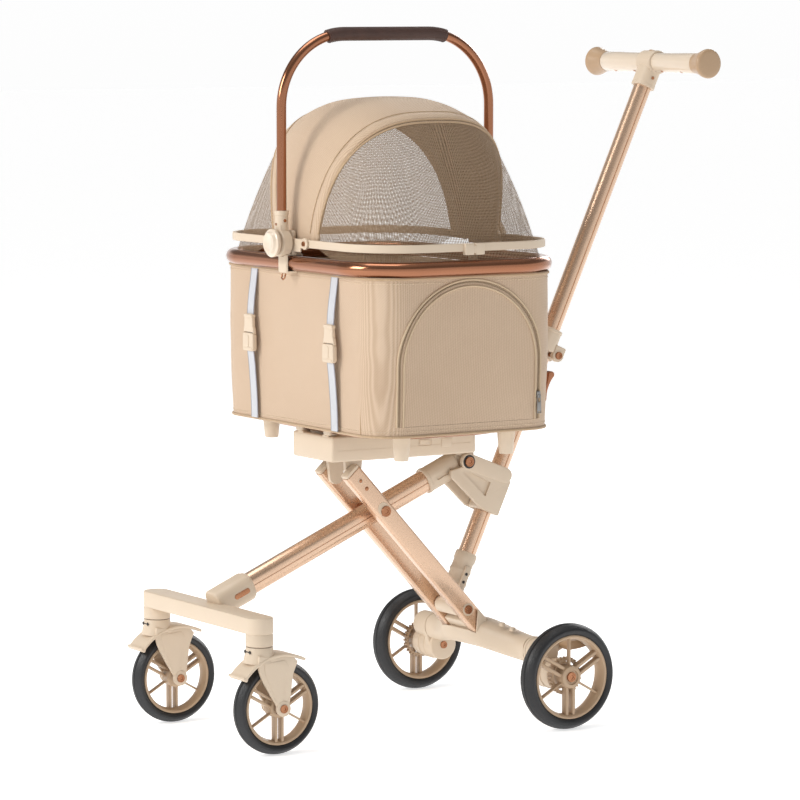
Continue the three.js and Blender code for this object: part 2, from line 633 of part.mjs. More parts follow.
function platformBase() {
  const half = platform.wide / 2;
  const w = platform.wall;
  const shell = cut(
    box(-half, half, platform.front, platform.rear, platform.bottom, platform.top),
    box(-half + w, half - w, platform.front + w, platform.rear - w, platform.bottom - 1, platform.top - w),
  );
  const inner = rearLeg.innerX - running;
  const lugs = sides.map(([, side]) => {
    const x0 = side > 0 ? inner - platform.lug : -inner;
    const link = linkShape({ y: legTopPivot.y, z: platform.top - 12 }, 20, legTopPivot, 13);
    return sidePlate(link, x0, x0 + platform.lug);
  });
  const pins = sides.map(([, side]) => cylinderX(legTopPivot.radius, side * (inner - 2),
    side * (rearLeg.innerX + rearLeg.thick + 1), legTopPivot.y, legTopPivot.z, smooth.small));
  const hooks = sides.map(([, side]) => {
    const x0 = side > 0 ? claw.innerX : -claw.innerX - claw.thick;
    const arm = new THREE.Shape();
    arm.moveTo(hub.y - 34, platform.top - 2);
    arm.lineTo(hub.y - 34, platform.bottom - 2);
    arm.lineTo(hub.y - 6, hub.z + 8);
    arm.lineTo(hub.y + 6, hub.z + 8);
    arm.lineTo(hub.y + 8, hub.z - 6);
    arm.lineTo(hub.y + 16, hub.z - 4);
    arm.lineTo(hub.y + 16, platform.bottom + 6);
    arm.lineTo(platform.rear - 2, platform.bottom + 10);
    arm.lineTo(platform.rear - 2, platform.top - 2);
    return sidePlate(arm, x0, x0 + claw.thick);
  });
  return part('platform_base', join(shell, ...lugs, ...pins, ...hooks), finish.cream);
}

/** Copper hoop that the carrier stands on, let into the platform's top. */
function supportHoop() {
  const geometry = hoopSolid(hoop.halfX, hoop.halfY, hoop.corner, 0, circleSection(hoop.radius, 8), 4);
  return part('support_hoop', geometry, finish.copper, [0, basket.y, hoop.z]);
}

// ---------------------------------------------------------------- slider, post and folding handle

const postTurn = radians(post.angle) - Math.PI / 2;

/** Post distances: along its line from the foot pivot, and ahead of it. */
function onPost(y, z) {
  const lean = radians(post.angle);
  const [dy, dz] = [y - postPivot.y, z - postPivot.z];
  const along = dy * Math.cos(lean) + dz * Math.sin(lean);
  const ahead = dz * Math.cos(lean) - dy * Math.sin(lean);
  return { along, ahead: ahead - post.ahead };
}

/** Tube with two shallow grooves down its side faces, standing along local z. */
function groovedTube(radius, bore, from, to) {
  const outline = new THREE.Shape();
  outline.absarc(0, 0, radius, 0, Math.PI * 2);
  const hole = new THREE.Path();
  hole.absarc(0, 0, bore, 0, Math.PI * 2, true);
  outline.holes.push(hole);
  const tube = prism(outline, to - from, 5).translate(0, 0, from);
  const grooves = [-1, 1].map((side) =>
    box(side * radius - post.groove / 2, side * radius + post.groove / 2, -1.5, 1.5, from - 1, to + 1));
  return cut(tube, ...grooves);
}

function lowerPostTube() {
  const geometry = groovedTube(post.radius, post.bore, 30, post.hingeAt - foldHinge.floor);
  return part('lower_post_tube', geometry, finish.champagne);
}

/** Ribbed foot that holds the tube and turns on the lower leg bolt. */
function postFootPart() {
  const body = cylinderZ(postFoot.radius, 8, postFoot.length, 0, 0, smooth.medium);
  const eyeHalf = rearLeg.innerX - running;
  const eye = join(
    cylinderX(postFoot.eye, -eyeHalf, eyeHalf, post.ahead, 0, smooth.medium),
    box(-eyeHalf + 8, eyeHalf - 8, post.ahead - postFoot.eye, post.ahead + postFoot.eye, 0, 22),
  );
  const bore = cylinderZ(post.radius + gap, 30 - gap, postFoot.length + 10, 0, 0, smooth.large);
  const hole = cylinderX(postPivot.radius + gap, -eyeHalf - 1, eyeHalf + 1, post.ahead, 0, smooth.small);
  return part('post_foot', cut(join(body, eye), bore, hole), finish.cream);
}

/** Saddle that runs along the post, open behind it, with a pair of braced lugs to the hub bolt. */
function postSlider() {
  const at = onPost(hub.y, hub.z);
  const channel = post.radius + gap;
  const front = channel + slider.wall;
  const outerX = slider.innerX + slider.lugThick;
  const low = at.along - slider.length * 0.8;
  const high = at.along + slider.length * 0.2;
  const saddle = cut(
    box(-front, front, -front, post.radius, low, high),
    box(-channel, channel, -channel, front, low - 1, high + 1),
  );
  const lugShape = linkShape({ y: -at.ahead, z: at.along }, 14, { y: 0, z: at.along + 5 }, 13);
  const brace = new THREE.Shape();
  brace.moveTo(-at.ahead - 2, at.along - 8);
  brace.lineTo(-at.ahead - slider.toe, at.along - slider.heel + 6);
  brace.lineTo(-at.ahead - slider.toe + 3, at.along - slider.heel - 3);
  brace.lineTo(-front - 2, low);
  brace.lineTo(post.radius, low);
  brace.lineTo(post.radius, at.along);
  brace.lineTo(-at.ahead, at.along);
  const window = new THREE.Path();
  window.moveTo(-at.ahead - 2, at.along - 20);
  window.lineTo(-front - 4, low + 22);
  window.lineTo(-front - 4, at.along - 14);
  window.lineTo(-at.ahead + 14, at.along - 14);
  brace.holes.push(window);
  const plates = [-1, 1].flatMap((side) => {
    const x0 = side > 0 ? slider.innerX : -outerX;
    return [sidePlate(lugShape, x0, x0 + slider.lugThick), sidePlate(brace, x0, x0 + slider.lugThick)];
  });
  const hole = cylinderX(hub.radius + gap, -outerX - 1, outerX + 1, -at.ahead, at.along);
  return part('post_slider', cut(join(saddle, ...plates), hole), finish.cream);
}

const hingeTop = post.hingeAt;

/** Fixed half of the folding hinge, closing the lower tube. */
function hingeLower() {
  const half = foldHinge.block / 2;
  const body = prism(roundedRectangle(foldHinge.block, foldHinge.block, 14), foldHinge.lower)
    .translate(0, 0, hingeTop - foldHinge.lower);
  const tongue = box(-foldHinge.tongue, foldHinge.tongue, half - 8, foldHinge.offset, hingeTop - 24, hingeTop);
  const round = cylinderX(foldHinge.lug, -foldHinge.tongue, foldHinge.tongue,
    foldHinge.offset, hingeTop, smooth.medium);
  const neck = box(-foldHinge.tongue, foldHinge.tongue, half - 8, foldHinge.offset + foldHinge.lug,
    hingeTop - 18, hingeTop);
  const bore = cylinderZ(post.radius + gap, hingeTop - foldHinge.lower - 1, hingeTop - foldHinge.floor + gap,
    0, 0, smooth.large);
  const upperRoom = box(-half - 1, half + 1, -half - 1, foldHinge.offset - foldHinge.lug - running,
    hingeTop, hingeTop + 40);
  const hole = cylinderX(foldHinge.bolt + gap, -30, 30, foldHinge.offset, hingeTop, smooth.small);
  const halfHinge = cut(join(body, tongue, neck, round), bore, upperRoom, hole);
  const sideRoom = sides.map(([, side]) => {
    const x0 = side > 0 ? foldHinge.tongue : -half - 1;
    return cylinderX(foldHinge.lug + running, x0, x0 + half + 1 - foldHinge.tongue,
      foldHinge.offset, hingeTop, smooth.medium);
  });
  return part('hinge_lower', cut(halfHinge, ...sideRoom), finish.cream);
}

/** Moving half of the hinge, holding the upper tube. */
function hingeUpper() {
  const half = foldHinge.block / 2;
  const z0 = hingeTop + running;
  const body = prism(roundedRectangle(foldHinge.block, foldHinge.block, 14), foldHinge.upper).translate(0, 0, z0);
  const ears = sides.flatMap(([, side]) => {
    const x0 = side > 0 ? foldHinge.tongue + running : -half;
    const width = half - foldHinge.tongue - running;
    return [
      cylinderX(foldHinge.lug, x0, x0 + width, foldHinge.offset, hingeTop, smooth.medium),
      box(x0, x0 + width, half - 8, foldHinge.offset + foldHinge.lug, z0 - 1, z0 + 16),
    ];
  });
  const bore = cylinderZ(post.radius + gap, z0 + foldHinge.floor - gap, z0 + foldHinge.upper + 1,
    0, 0, smooth.large);
  const tongueHalf = foldHinge.tongue + running;
  const tongueRoom = cylinderX(foldHinge.lug + running, -tongueHalf, tongueHalf,
    foldHinge.offset, hingeTop, smooth.medium);
  const hole = cylinderX(foldHinge.bolt + gap, -30, 30, foldHinge.offset, hingeTop, smooth.small);
  return part('hinge_upper', cut(join(body, ...ears), bore, tongueRoom, hole), finish.cream);
}

function hingeBolt() {
  const half = foldHinge.block / 2;
  const body = join(
    cylinderX(foldHinge.bolt, -half - 1, half + 1),
    cylinderX(6.5, half + gap, half + 3),
    cylinderX(6.5, -half - 3, -half - gap),
  );
  return part('hinge_bolt', body, finish.copper, [0, foldHinge.offset, hingeTop]);
}

/** Release lever hanging behind the post under the hinge. */
function hingeLever() {
  const shape = new THREE.Shape();
  shape.absarc(0, 0, 6, 0, Math.PI);
  shape.quadraticCurveTo(-5, -lever.long * 0.5, 3, -lever.long);
  shape.lineTo(9, -lever.long + 2);
  shape.quadraticCurveTo(2, -lever.long * 0.5, 6, 0);
  const geometry = cut(
    sidePlate(shape, -lever.wide / 2, lever.wide / 2),
    cylinderX(lever.pinRadius + gap, -lever.wide, lever.wide),
  );
  return part('hinge_lever', geometry, finish.copper, [0, foldHinge.offset + 6, hingeTop - 33]);
}

function upperPostTube() {
  const geometry = groovedTube(post.radius, post.bore, hingeTop + running + foldHinge.floor,
    post.barAt - bar.radius - tee.depth);
  return part('upper_post_tube', geometry, finish.champagne);
}

function teeJoint() {
  const top = post.barAt;
  const sleeve = prism(roundedRectangle(tee.wide, tee.wide - 4, 15), tee.length).translate(0, 0, top - tee.length);
  const saddle = cylinderX(bar.radius + tee.wall, -tee.wide / 2, tee.wide / 2, 0, top, smooth.medium);
  const barRoom = cylinderX(bar.radius + gap, -tee.wide, tee.wide, 0, top, smooth.medium);
  const bore = cylinderZ(post.radius + gap, top - tee.length - 1, top - bar.radius - tee.depth + gap,
    0, 0, smooth.large);
  const buttonRoom = cylinderZ(button.radius + running, top, top + 40, 0, 0, smooth.medium);
  return part('tee_joint', cut(join(sleeve, saddle), barRoom, bore, buttonRoom), finish.cream);
}

function tBarGrip() {
  const body = cut(
    cylinderX(bar.radius, -bar.half, bar.half, 0, 0, smooth.medium),
    cylinderX(bar.radius - bar.wall, -bar.half - 1, bar.half + 1, 0, 0, smooth.medium),
  );
  const well = cylinderZ(button.radius + running, 0, bar.radius + 5, 0, 0, smooth.medium);
  return part('t_bar_grip', cut(body, well), finish.creamGloss, [0, 0, post.barAt]);
}

/** Flared end cap, an egg-shaped face on a round plug. */
function barCap(name, side) {
  const profile = [
    new THREE.Vector2(0, -14),
    new THREE.Vector2(bar.radius - bar.wall - gap, -14),
    new THREE.Vector2(bar.radius - bar.wall - gap, gap),
    new THREE.Vector2(bar.radius, gap),
    new THREE.Vector2(bar.radius + 2, 10),
    new THREE.Vector2(bar.cap, bar.capLength - 4),
    new THREE.Vector2(bar.cap - 2.5, bar.capLength),
    new THREE.Vector2(0, bar.capLength + 1.5),
  ];
  const turned = new THREE.LatheGeometry(profile, smooth.medium).rotateZ(-Math.PI / 2);
  const geometry = turned.translate(bar.half, 0, 0);
  return part(name, side > 0 ? geometry : mirrored(geometry), finish.tan, [0, 0, post.barAt]);
}

function foldButton() {
  const z0 = bar.radius - button.sunk - 4;
  const geometry = cylinderZ(button.radius, z0, bar.radius + button.tall - 3, 0, 0, smooth.medium);
  return part('fold_button', geometry, finish.tan, [0, 0, post.barAt]);
}

// ---------------------------------------------------------------- carrier

/** Fabric tub: four walls with rounded corners, open on top and below. */
function tub() {
  const top = rim.z - rim.radius - gap;
  const outline = (z, grow) => loopPoints(basket.halfX + grow, basket.halfY + grow, basket.corner + grow, z, 5);
  return loft([
    outline(basket.bottom, -basket.taper),
    outline(top, 0),
    outline(top, -basket.wall),
    outline(basket.bottom, -basket.taper - basket.wall),
  ], true);
}

/** Arched block through the left wall; grow widens it for the opening. */
function doorBlock(grow) {
  const half = door.half + grow;
  const shoulder = door.top - door.half;
  const shape = new THREE.Shape();
  shape.moveTo(-half, door.bottom - grow);
  shape.lineTo(half, door.bottom - grow);
  shape.lineTo(half, shoulder);
  shape.absarc(0, shoulder, half, 0, Math.PI);
  shape.lineTo(-half, door.bottom - grow);
  return sidePlate(shape, basket.halfX - basket.corner, basket.halfX + 10, 8);
}

function basketShell() {
  return part('basket_shell', cut(tub(), doorBlock(gap)), finish.weave, [0, basket.y, 0]);
}

function sideDoor() {
  return part('side_door', keepInside(tub(), doorBlock(0)), finish.weave, [0, basket.y, 0]);
}

/** Base board with four tapered feet. */
function basketBaseTray() {
  const inset = basket.taper + basket.wall + gap;
  const board = prism(roundedRectangle((basket.halfX - inset) * 2, (basket.halfY - inset) * 2,
    basket.corner - basket.wall), tray.thick, 4).translate(0, 0, basket.floor);
  const feet = [];
  for (const [, sideX] of sides) {
    for (const sideY of [-1, 1]) {
      feet.push(cylinderZ(tray.footBottom, tray.footZ, basket.floor + 2, sideX * tray.footX,
        sideY * tray.footY, smooth.small, tray.footTop));
    }
  }
  return part('basket_base_tray', join(board, ...feet), finish.cream, [0, basket.y, 0]);
}

function rimTube() {
  const geometry = hoopSolid(rim.halfX, rim.halfY, rim.corner, 0, circleSection(rim.radius, 10), 5);
  return part('rim_tube', geometry, finish.copper, [0, basket.y, rim.z]);
}

/** Webbing strap down the front wall with its side-release buckle. */
function closureStrap(name, x) {
  const front = -basket.halfY - strap.clear;
  const top = rim.z - rim.radius - 2;
  const webbing = box(-strap.wide / 2, strap.wide / 2, front - strap.thick, front, basket.bottom + 6, top);
  const clasp = prism(roundedRectangle(buckle.wide, buckle.tall, 6), buckle.thick, 4);
  clasp.rotateX(Math.PI / 2).translate(0, front - 0.5, buckle.z);
  return part(name, join(webbing, clasp), finish.webbing, [x, basket.y, 0]);
}

function sleepingCushion() {
  const inset = basket.taper + basket.wall + cushion.inset;
  const outline = roundedRectangle((basket.halfX - inset) * 2, (basket.halfY - inset) * 2, cushion.corner);
  const geometry = prism(outline, cushion.tall, 4);
  return part('sleeping_cushion', geometry, finish.lining, [0, basket.y, basket.floor + tray.thick + gap]);
}

// ---------------------------------------------------------------- carry handle

/** Clamp on the rim with the pivot plate for the carry handle and the pins for the canopy's rings. */
function carryHandleBracket(name, end) {
  const outer = rim.halfY + rim.radius;
  const plateInner = canopy.halfY + 1.5;
  const plateOuter = plateInner + handleBracket.thick;
  const half = handleBracket.wide / 2;
  const grasp = rim.radius + handleBracket.clamp;
  const clampPart = box(-half, half, -rim.halfY - grasp, -rim.halfY + grasp, rim.z - grasp, rim.z + grasp);
  const plate = box(-half, half, -plateOuter, -plateInner, rim.z, bail.pivotZ + handleBracket.top);
  const wing = box(-handleBracket.wing, handleBracket.wing, -plateOuter, -plateOuter + handleBracket.wingThick,
    bail.pivotZ - 8, bail.pivotZ + 8);
  const pins = [-1, 1].map((side) => cylinderY(handleBracket.pin, -plateOuter + 1, -canopy.halfY - 1,
    side * ring.hingeX, bail.pivotZ, smooth.small));
  const pinStart = -bail.span - bailHub.thick / 2 + 4;
  const pivotPin = cylinderY(bailHub.pin, pinStart, -plateInner - 2, 0, bail.pivotZ, smooth.small);
  const rimRoom = box(-half - 1, half + 1, -rim.halfY - rim.radius - gap, -rim.halfY + rim.radius + gap,
    rim.z - rim.radius - gap, rim.z + rim.radius + gap);
  const shellRoom = box(-half - 1, half + 1, -basket.halfY - gap, 0, 0, rim.z - rim.radius + 2);
  const hubRoom = cylinderY(bailHub.radius + running, -outer - handleBracket.clamp - 1, -plateOuter, 0,
    bail.pivotZ, smooth.medium);
  const mount = cut(join(clampPart, plate, wing), rimRoom, shellRoom, hubRoom);
  const geometry = join(mount, ...pins, pivotPin);
  if (end > 0) {
    geometry.rotateZ(Math.PI);
  }
  return part(name, geometry, finish.cream, [0, basket.y, 0]);
}

// The tube starts this far above its pivot line.
const tubeStart = bailHub.radius + 2;

/** The handle's arch as a path in the y, z plane, relative to its pivot line. */
function bailPath(from) {
  const top = bail.rise;
  const path = new THREE.CurvePath();
  const point = (y, z) => new THREE.Vector3(0, y, z);
  const soft = bail.bend * 0.45;
  path.add(new THREE.LineCurve3(point(-bail.span, from), point(-bail.span, top - bail.bend)));
  path.add(new THREE.CubicBezierCurve3(
    point(-bail.span, top - bail.bend), point(-bail.span, top - soft),
    point(-bail.span + soft, top), point(-bail.span + bail.bend, top),
  ));
  path.add(new THREE.LineCurve3(point(-bail.span + bail.bend, top), point(bail.span - bail.bend, top)));
  path.add(new THREE.CubicBezierCurve3(
    point(bail.span - bail.bend, top), point(bail.span - soft, top),
    point(bail.span, top - soft), point(bail.span, top - bail.bend),
  ));
  path.add(new THREE.LineCurve3(point(bail.span, top - bail.bend), point(bail.span, from)));
  return path;
}

/** Round section carried along a path that lies in the y, z plane. */
function sweepInSideView(points, radius, count) {
  const rings = points.map((point, index) => {
    const before = points[Math.max(index - 1, 0)];
    const after = points[Math.min(index + 1, points.length - 1)];
    const ahead = new THREE.Vector3().subVectors(after, before).normalize();
    const across = new THREE.Vector3(1, 0, 0);
    const up = new THREE.Vector3().crossVectors(across, ahead);
    return circleSection(radius, count).map(([a, b]) =>
      point.clone().addScaledVector(across, a).addScaledVector(up, b));
  });
  return loft(rings);
}

function bailPoints(from, bendSteps = 5) {
  const points = [];
  for (const curve of bailPath(from).curves) {
    const steps = curve.isLineCurve3 ? 1 : bendSteps;
    for (const point of curve.getPoints(steps)) {
      const last = points[points.length - 1];
      if (!last || last.distanceTo(point) > 0.5) {
        points.push(point);
      }
    }
  }
  return points;
}

function carryHandleTube() {
  const geometry = sweepInSideView(bailPoints(tubeStart), bail.radius, 10);
  return part('carry_handle_tube', geometry, finish.copper, [0, basket.y, bail.pivotZ]);
}

function carryHandleGrip() {
  const inside = bailPoints(tubeStart, 14).filter((point) => Math.abs(point.y) <= bail.gripHalf);
  const path = [new THREE.Vector3(0, -bail.gripHalf, heightOnBail(-bail.gripHalf)), ...inside,
    new THREE.Vector3(0, bail.gripHalf, heightOnBail(bail.gripHalf))];
  const spaced = path.filter((point, index) => index === 0 || point.distanceTo(path[index - 1]) > 0.5);
  const geometry = cut(
    sweepInSideView(spaced, bail.gripRadius, 12),
    sweepInSideView(bailPoints(tubeStart), bail.radius + gap, 10),
  );
  return part('carry_handle_grip', geometry, finish.leather, [0, basket.y, bail.pivotZ]);
}

/** Height of the handle's centreline above its pivot at a distance from the middle. */
function heightOnBail(y) {
  const points = bailPoints(tubeStart, 14);
  for (let index = 1; index < points.length; index += 1) {
    const [a, b] = [points[index - 1], points[index]];
    if (a.y <= y && y <= b.y && b.y > a.y) {
      return a.z + ((b.z - a.z) * (y - a.y)) / (b.y - a.y);
    }
  }
  return bail.rise;
}

/** Pivot hub and the sleeve that the handle's tube plugs into. */
function carryHandleSocket(name, end) {
  const half = bailHub.thick / 2;
  const body = join(
    cylinderY(bailHub.radius, -half, half, 0, 0, smooth.medium),
    cylinderZ(bailHub.sleeve, 10, bailHub.sleeveTop, 0, 0, smooth.medium),
  );
  const bore = cylinderZ(bail.radius + gap, tubeStart - gap, bailHub.sleeveTop + 1, 0, 0, smooth.medium);
  const pinHole = cylinderY(bailHub.pin + gap, -half - 1, half - 4 + running, 0, 0, smooth.small);
  const geometry = cut(body, bore, pinHole);
  if (end < 0) {
    geometry.rotateZ(Math.PI);
  }
  return part(name, geometry, finish.cream, [0, basket.y + end * bail.span, bail.pivotZ]);
}

/** Push-button cap outside the hub. */
function carryHandleKnob(name, end) {
  const start = bail.span + Math.max(bailHub.thick / 2, bailHub.sleeve) + knob.travel + gap;
  const geometry = join(
    cylinderY(knob.radius, end * start, end * (start + knob.thick * 0.6), 0, 0, smooth.medium),
    cylinderY(knob.radius - 5, end * (start + knob.thick * 0.5), end * (start + knob.thick), 0, 0, smooth.medium),
  );
  return part(name, geometry, finish.creamGloss, [0, basket.y, bail.pivotZ]);
}

// ---------------------------------------------------------------- canopy

/** Point on the hood: x across, turn 0 at the front hem to 1 at the rear hem, inset inward. */
function hoodPoint(x, turn, inset) {
  const halfX = canopy.halfX - inset;
  const spread = Math.max(1 - Math.abs(x / halfX) ** canopy.bulge, 0) ** (1 / canopy.bulge);
  const angle = Math.PI * turn;
  const y = -(canopy.halfY - inset) * Math.sign(Math.cos(angle)) * Math.abs(Math.cos(angle)) ** canopy.square;
  const z = (canopy.height - inset) * Math.sin(angle) ** canopy.square;
  return new THREE.Vector3(x, y * spread, z * spread);
}

/** Half-width of the fabric band at a place along its arch. */
function bandEdge(turn) {
  return canopy.baseBand + canopy.topBand * Math.sin(Math.PI * turn);
}

const hoodBase = bail.pivotZ - ring.tall / 2;

function hoodFabric() {
  const at = (inset) => (u, v) => hoodPoint((u * 2 - 1) * bandEdge(v), v, inset);
  const skin = thickPatch(at(0), at(canopy.wall), patch.hoodAcross, patch.along);
  return part('hood_fabric', skin, finish.weave, [0, basket.y, hoodBase]);
}

/** Hem of the left mesh panel, from the front (0) round the side to the rear (1). */
function meshHemPoint(share, inset) {
  const halfX = meshHem.halfX - inset;
  const halfY = canopy.halfY - inset;
  const start = canopy.baseBand + canopy.seam;
  const run = halfX - meshHem.corner - start;
  const bend = (meshHem.corner * Math.PI) / 2;
  const side = 2 * (halfY - meshHem.corner);
  const length = 2 * run + 2 * bend + side;
  const folded = Math.min(share, 1 - share) * length;
  const front = share <= 0.5 ? -1 : 1;
  if (folded <= run) {
    return new THREE.Vector3(start + folded, front * halfY, 0);
  }
  if (folded <= run + bend) {
    const turn = (folded - run) / meshHem.corner;
    const x = halfX - meshHem.corner * (1 - Math.sin(turn));
    return new THREE.Vector3(x, front * (halfY - meshHem.corner * (1 - Math.cos(turn))), 0);
  }
  return new THREE.Vector3(halfX, front * (halfY - meshHem.corner - (folded - run - bend)), 0);
}

/** Mesh side panel drawn tight from the fabric band's edge down to the ring. */
function meshPanel(name, side) {
  const at = (inset) => (u, v) => {
    const place = 0.06 + 0.88 * v;
    const edge = bandEdge(place) + canopy.seam;
    const high = hoodPoint(edge, place, inset);
    const low = meshHemPoint(0.02 + 0.96 * v, inset);
    const belly = meshHem.belly * Math.sin(Math.PI * u);
    return high.lerp(low, u).add(new THREE.Vector3(belly, 0, belly * 0.5));
  };
  const geometry = thickPatch(at(0), at(canopy.wall), patch.meshAcross, patch.along);
  return part(name, side > 0 ? geometry : mirrored(geometry), finish.mesh, [0, basket.y, hoodBase]);
}

/** Half of the canopy's base ring, with an eye at each end and a latch block at the side. */
function canopyRing(name, side) {
  const section = [
    [-ring.thick / 2, -ring.tall / 2], [ring.thick / 2, -ring.tall / 2],
    [ring.thick / 2, ring.tall / 2], [-ring.thick / 2, ring.tall / 2],
  ];
  const whole = hoopSolid(ring.halfX, ring.halfY, ring.corner, 0, section, 5);
  const half = keepInside(whole, box(ring.hingeX, ring.halfX + 20, -ring.halfY - 20, ring.halfY + 20, -30, 30));
  const eyes = [-1, 1].map((end) => cylinderY(ring.eye, end * (ring.halfY - ring.thick / 2),
    end * (ring.halfY + ring.thick / 2), ring.hingeX, 0, smooth.small));
  const block = box(ring.halfX - 1, ring.halfX + latch.thick, -latch.wide / 2, latch.wide / 2,
    -latch.tall, latch.tall / 2);
  const holes = [-1, 1].map((end) => cylinderY(handleBracket.pin + gap, end * (ring.halfY - 10),
    end * (ring.halfY + 10), ring.hingeX, 0, smooth.small));
  const geometry = cut(join(half, ...eyes, block), ...holes);
  return part(name, side > 0 ? geometry : mirrored(geometry), finish.cream, [0, basket.y, bail.pivotZ]);
}

// ---------------------------------------------------------------- assembly

const leftRight = (build, label) => sides.map(([word, side]) => build(`${label}_${word}`, side));
const frontRear = (build, label) => [build(`${label}_front`, -1), build(`${label}_rear`, 1)];

function rearWheels() {
  return sides.map(([word, side]) => group(
    [(side * rearWheel.track) / 2, 0, rearWheel.diameter / 2],
    [0, 0, 0],
    tyre(`rear_tyre_${word}`, rearWheel),
    wheelRim(`rear_rim_${word}`, { ...rearWheel, boltRadius: bracket.pinRadius }, side),
  ));
}

function casters() {
  return sides.map(([word, side]) => group(
    [(side * frontWheel.track) / 2, -wheelbase, frontWheel.diameter / 2],
    [0, 0, 0],
    casterFork(`caster_fork_${word}`),
    frontAxleBolt(`front_axle_bolt_${word}`),
    tyre(`front_tyre_${word}`, frontWheel),
    wheelRim(`front_rim_${word}`, frontWheel, side),
  ));
}

const legOuter = rearLeg.innerX + rearLeg.thick;

const alongPost = group([0, -post.ahead, 0], [0, 0, 0],
  lowerPostTube(),
  postFootPart(),
  postSlider(),
  hingeLower(),
  hingeLever(),
  hingeUpper(),
  hingeBolt(),
  upperPostTube(),
  teeJoint(),
  tBarGrip(),
  ...leftRight(barCap, 't_bar_cap'),
  foldButton(),
);
const postAssembly = group([0, postPivot.y, postPivot.z], [postTurn, 0, 0], alongPost);

const frontExtent = -wheelbase - frontWheel.diameter / 2;
const barLine = post.barAt * Math.cos(radians(post.angle)) - post.ahead * Math.sin(radians(post.angle));
const rearExtent = postPivot.y + barLine + bar.cap;

const stroller = group([0, -(frontExtent + rearExtent) / 2, 0], [0, 0, 0],
  ...leftRight(rearLegPart, 'rear_leg'),
  rearAxleBeam(),
  ...leftRight(wheelBracket, 'rear_wheel_bracket'),
  ...leftRight(brakePedal, 'brake_pedal'),
  crossBolt('cross_pivot_bolt', crossPivot, legOuter + gap, 9),
  crossBolt('lower_leg_bolt', postPivot, legOuter + gap, 7.5),
  ...rearWheels(),
  frontLegPart(),
  frontLegTopJoint(),
  frontCrossbar(),
  ...casters(),
  platformBase(),
  supportHoop(),
  crossBolt('hub_bolt', hub, slider.innerX + slider.lugThick + gap, 8.5),
  postAssembly,
  basketShell(),
  basketBaseTray(),
  rimTube(),
  sideDoor(),
  closureStrap('closure_strap_left', strap.x[1]),
  closureStrap('closure_strap_right', strap.x[0]),
  sleepingCushion(),
  ...frontRear(carryHandleBracket, 'carry_handle_bracket'),
  carryHandleTube(),
  carryHandleGrip(),
  ...frontRear(carryHandleSocket, 'carry_handle_socket'),
  ...frontRear(carryHandleKnob, 'carry_handle_knob'),
  hoodFabric(),
  ...leftRight(meshPanel, 'mesh_panel'),
  ...leftRight(canopyRing, 'canopy_ring'),
);

export default stroller;
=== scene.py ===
"""Looks of a folding pet stroller with a lift-off carrier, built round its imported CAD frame.

Lengths in the classes are millimetres. y is counted from the rear axle, x from the middle
plane and z from the floor; Form turns them into metres in the frame's own axes.
"""

import logging
import math
from dataclasses import dataclass
from enum import Enum
from typing import Callable, Iterable, Optional, Sequence

import bmesh
import bpy
from mathutils import Matrix, Vector, noise


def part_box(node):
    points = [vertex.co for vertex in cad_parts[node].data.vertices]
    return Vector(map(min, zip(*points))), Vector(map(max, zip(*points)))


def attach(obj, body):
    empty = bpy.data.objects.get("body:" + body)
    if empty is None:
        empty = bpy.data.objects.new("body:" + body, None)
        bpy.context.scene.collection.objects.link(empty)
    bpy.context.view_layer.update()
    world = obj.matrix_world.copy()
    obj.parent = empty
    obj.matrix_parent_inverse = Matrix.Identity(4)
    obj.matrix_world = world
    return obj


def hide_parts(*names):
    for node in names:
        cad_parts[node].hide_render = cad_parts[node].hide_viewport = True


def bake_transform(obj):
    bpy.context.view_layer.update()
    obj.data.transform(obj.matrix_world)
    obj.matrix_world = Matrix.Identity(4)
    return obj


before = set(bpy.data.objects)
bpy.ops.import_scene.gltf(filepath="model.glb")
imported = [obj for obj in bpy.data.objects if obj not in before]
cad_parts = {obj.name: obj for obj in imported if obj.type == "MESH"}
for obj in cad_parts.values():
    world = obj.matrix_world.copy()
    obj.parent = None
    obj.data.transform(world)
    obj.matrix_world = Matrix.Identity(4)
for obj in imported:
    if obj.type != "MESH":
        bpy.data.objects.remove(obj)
LOG = logging.getLogger("pet_stroller")

MM = 0.001
TAU = math.tau
Point2 = tuple[float, float]
Point3 = tuple[float, float, float]


class Axis(Enum):
    """Direction that a round shape stands along."""

    X = Matrix.Rotation(math.radians(90), 4, "Y")
    Y = Matrix.Rotation(math.radians(-90), 4, "X")
    Z = Matrix.Identity(4)


class Side(Enum):
    """Left is +x, right is -x."""

    LEFT = ("left", 1)
    RIGHT = ("right", -1)

    @property
    def word(self) -> str:
        """Name of the side."""
        return self.value[0]

    @property
    def sign(self) -> int:
        """Direction of the side along x."""
        return self.value[1]


def axle_offset() -> float:
    """Distance in metres along y from the frame's origin to the rear axle."""
    low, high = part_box("rear_tyre_left")
    return (low[1] + high[1]) / 2


AXLE_Y = axle_offset()


# ---------------------------------------------------------------- outlines


def arc(cy: float, cz: float, radius: float, start: float, stop: float, steps: int = 12) -> list[Point2]:
    """Points along part of a circle.

    Args:
        cy: centre's first coordinate.
        cz: centre's second coordinate.
        radius: radius of the circle.
        start: first angle in degrees.
        stop: last angle in degrees.
        steps: number of spans.

    Returns:
        The points, first and last included.
    """
    turns = [math.radians(start + (stop - start) * n / steps) for n in range(steps + 1)]
    return [(cy + radius * math.cos(t), cz + radius * math.sin(t)) for t in turns]


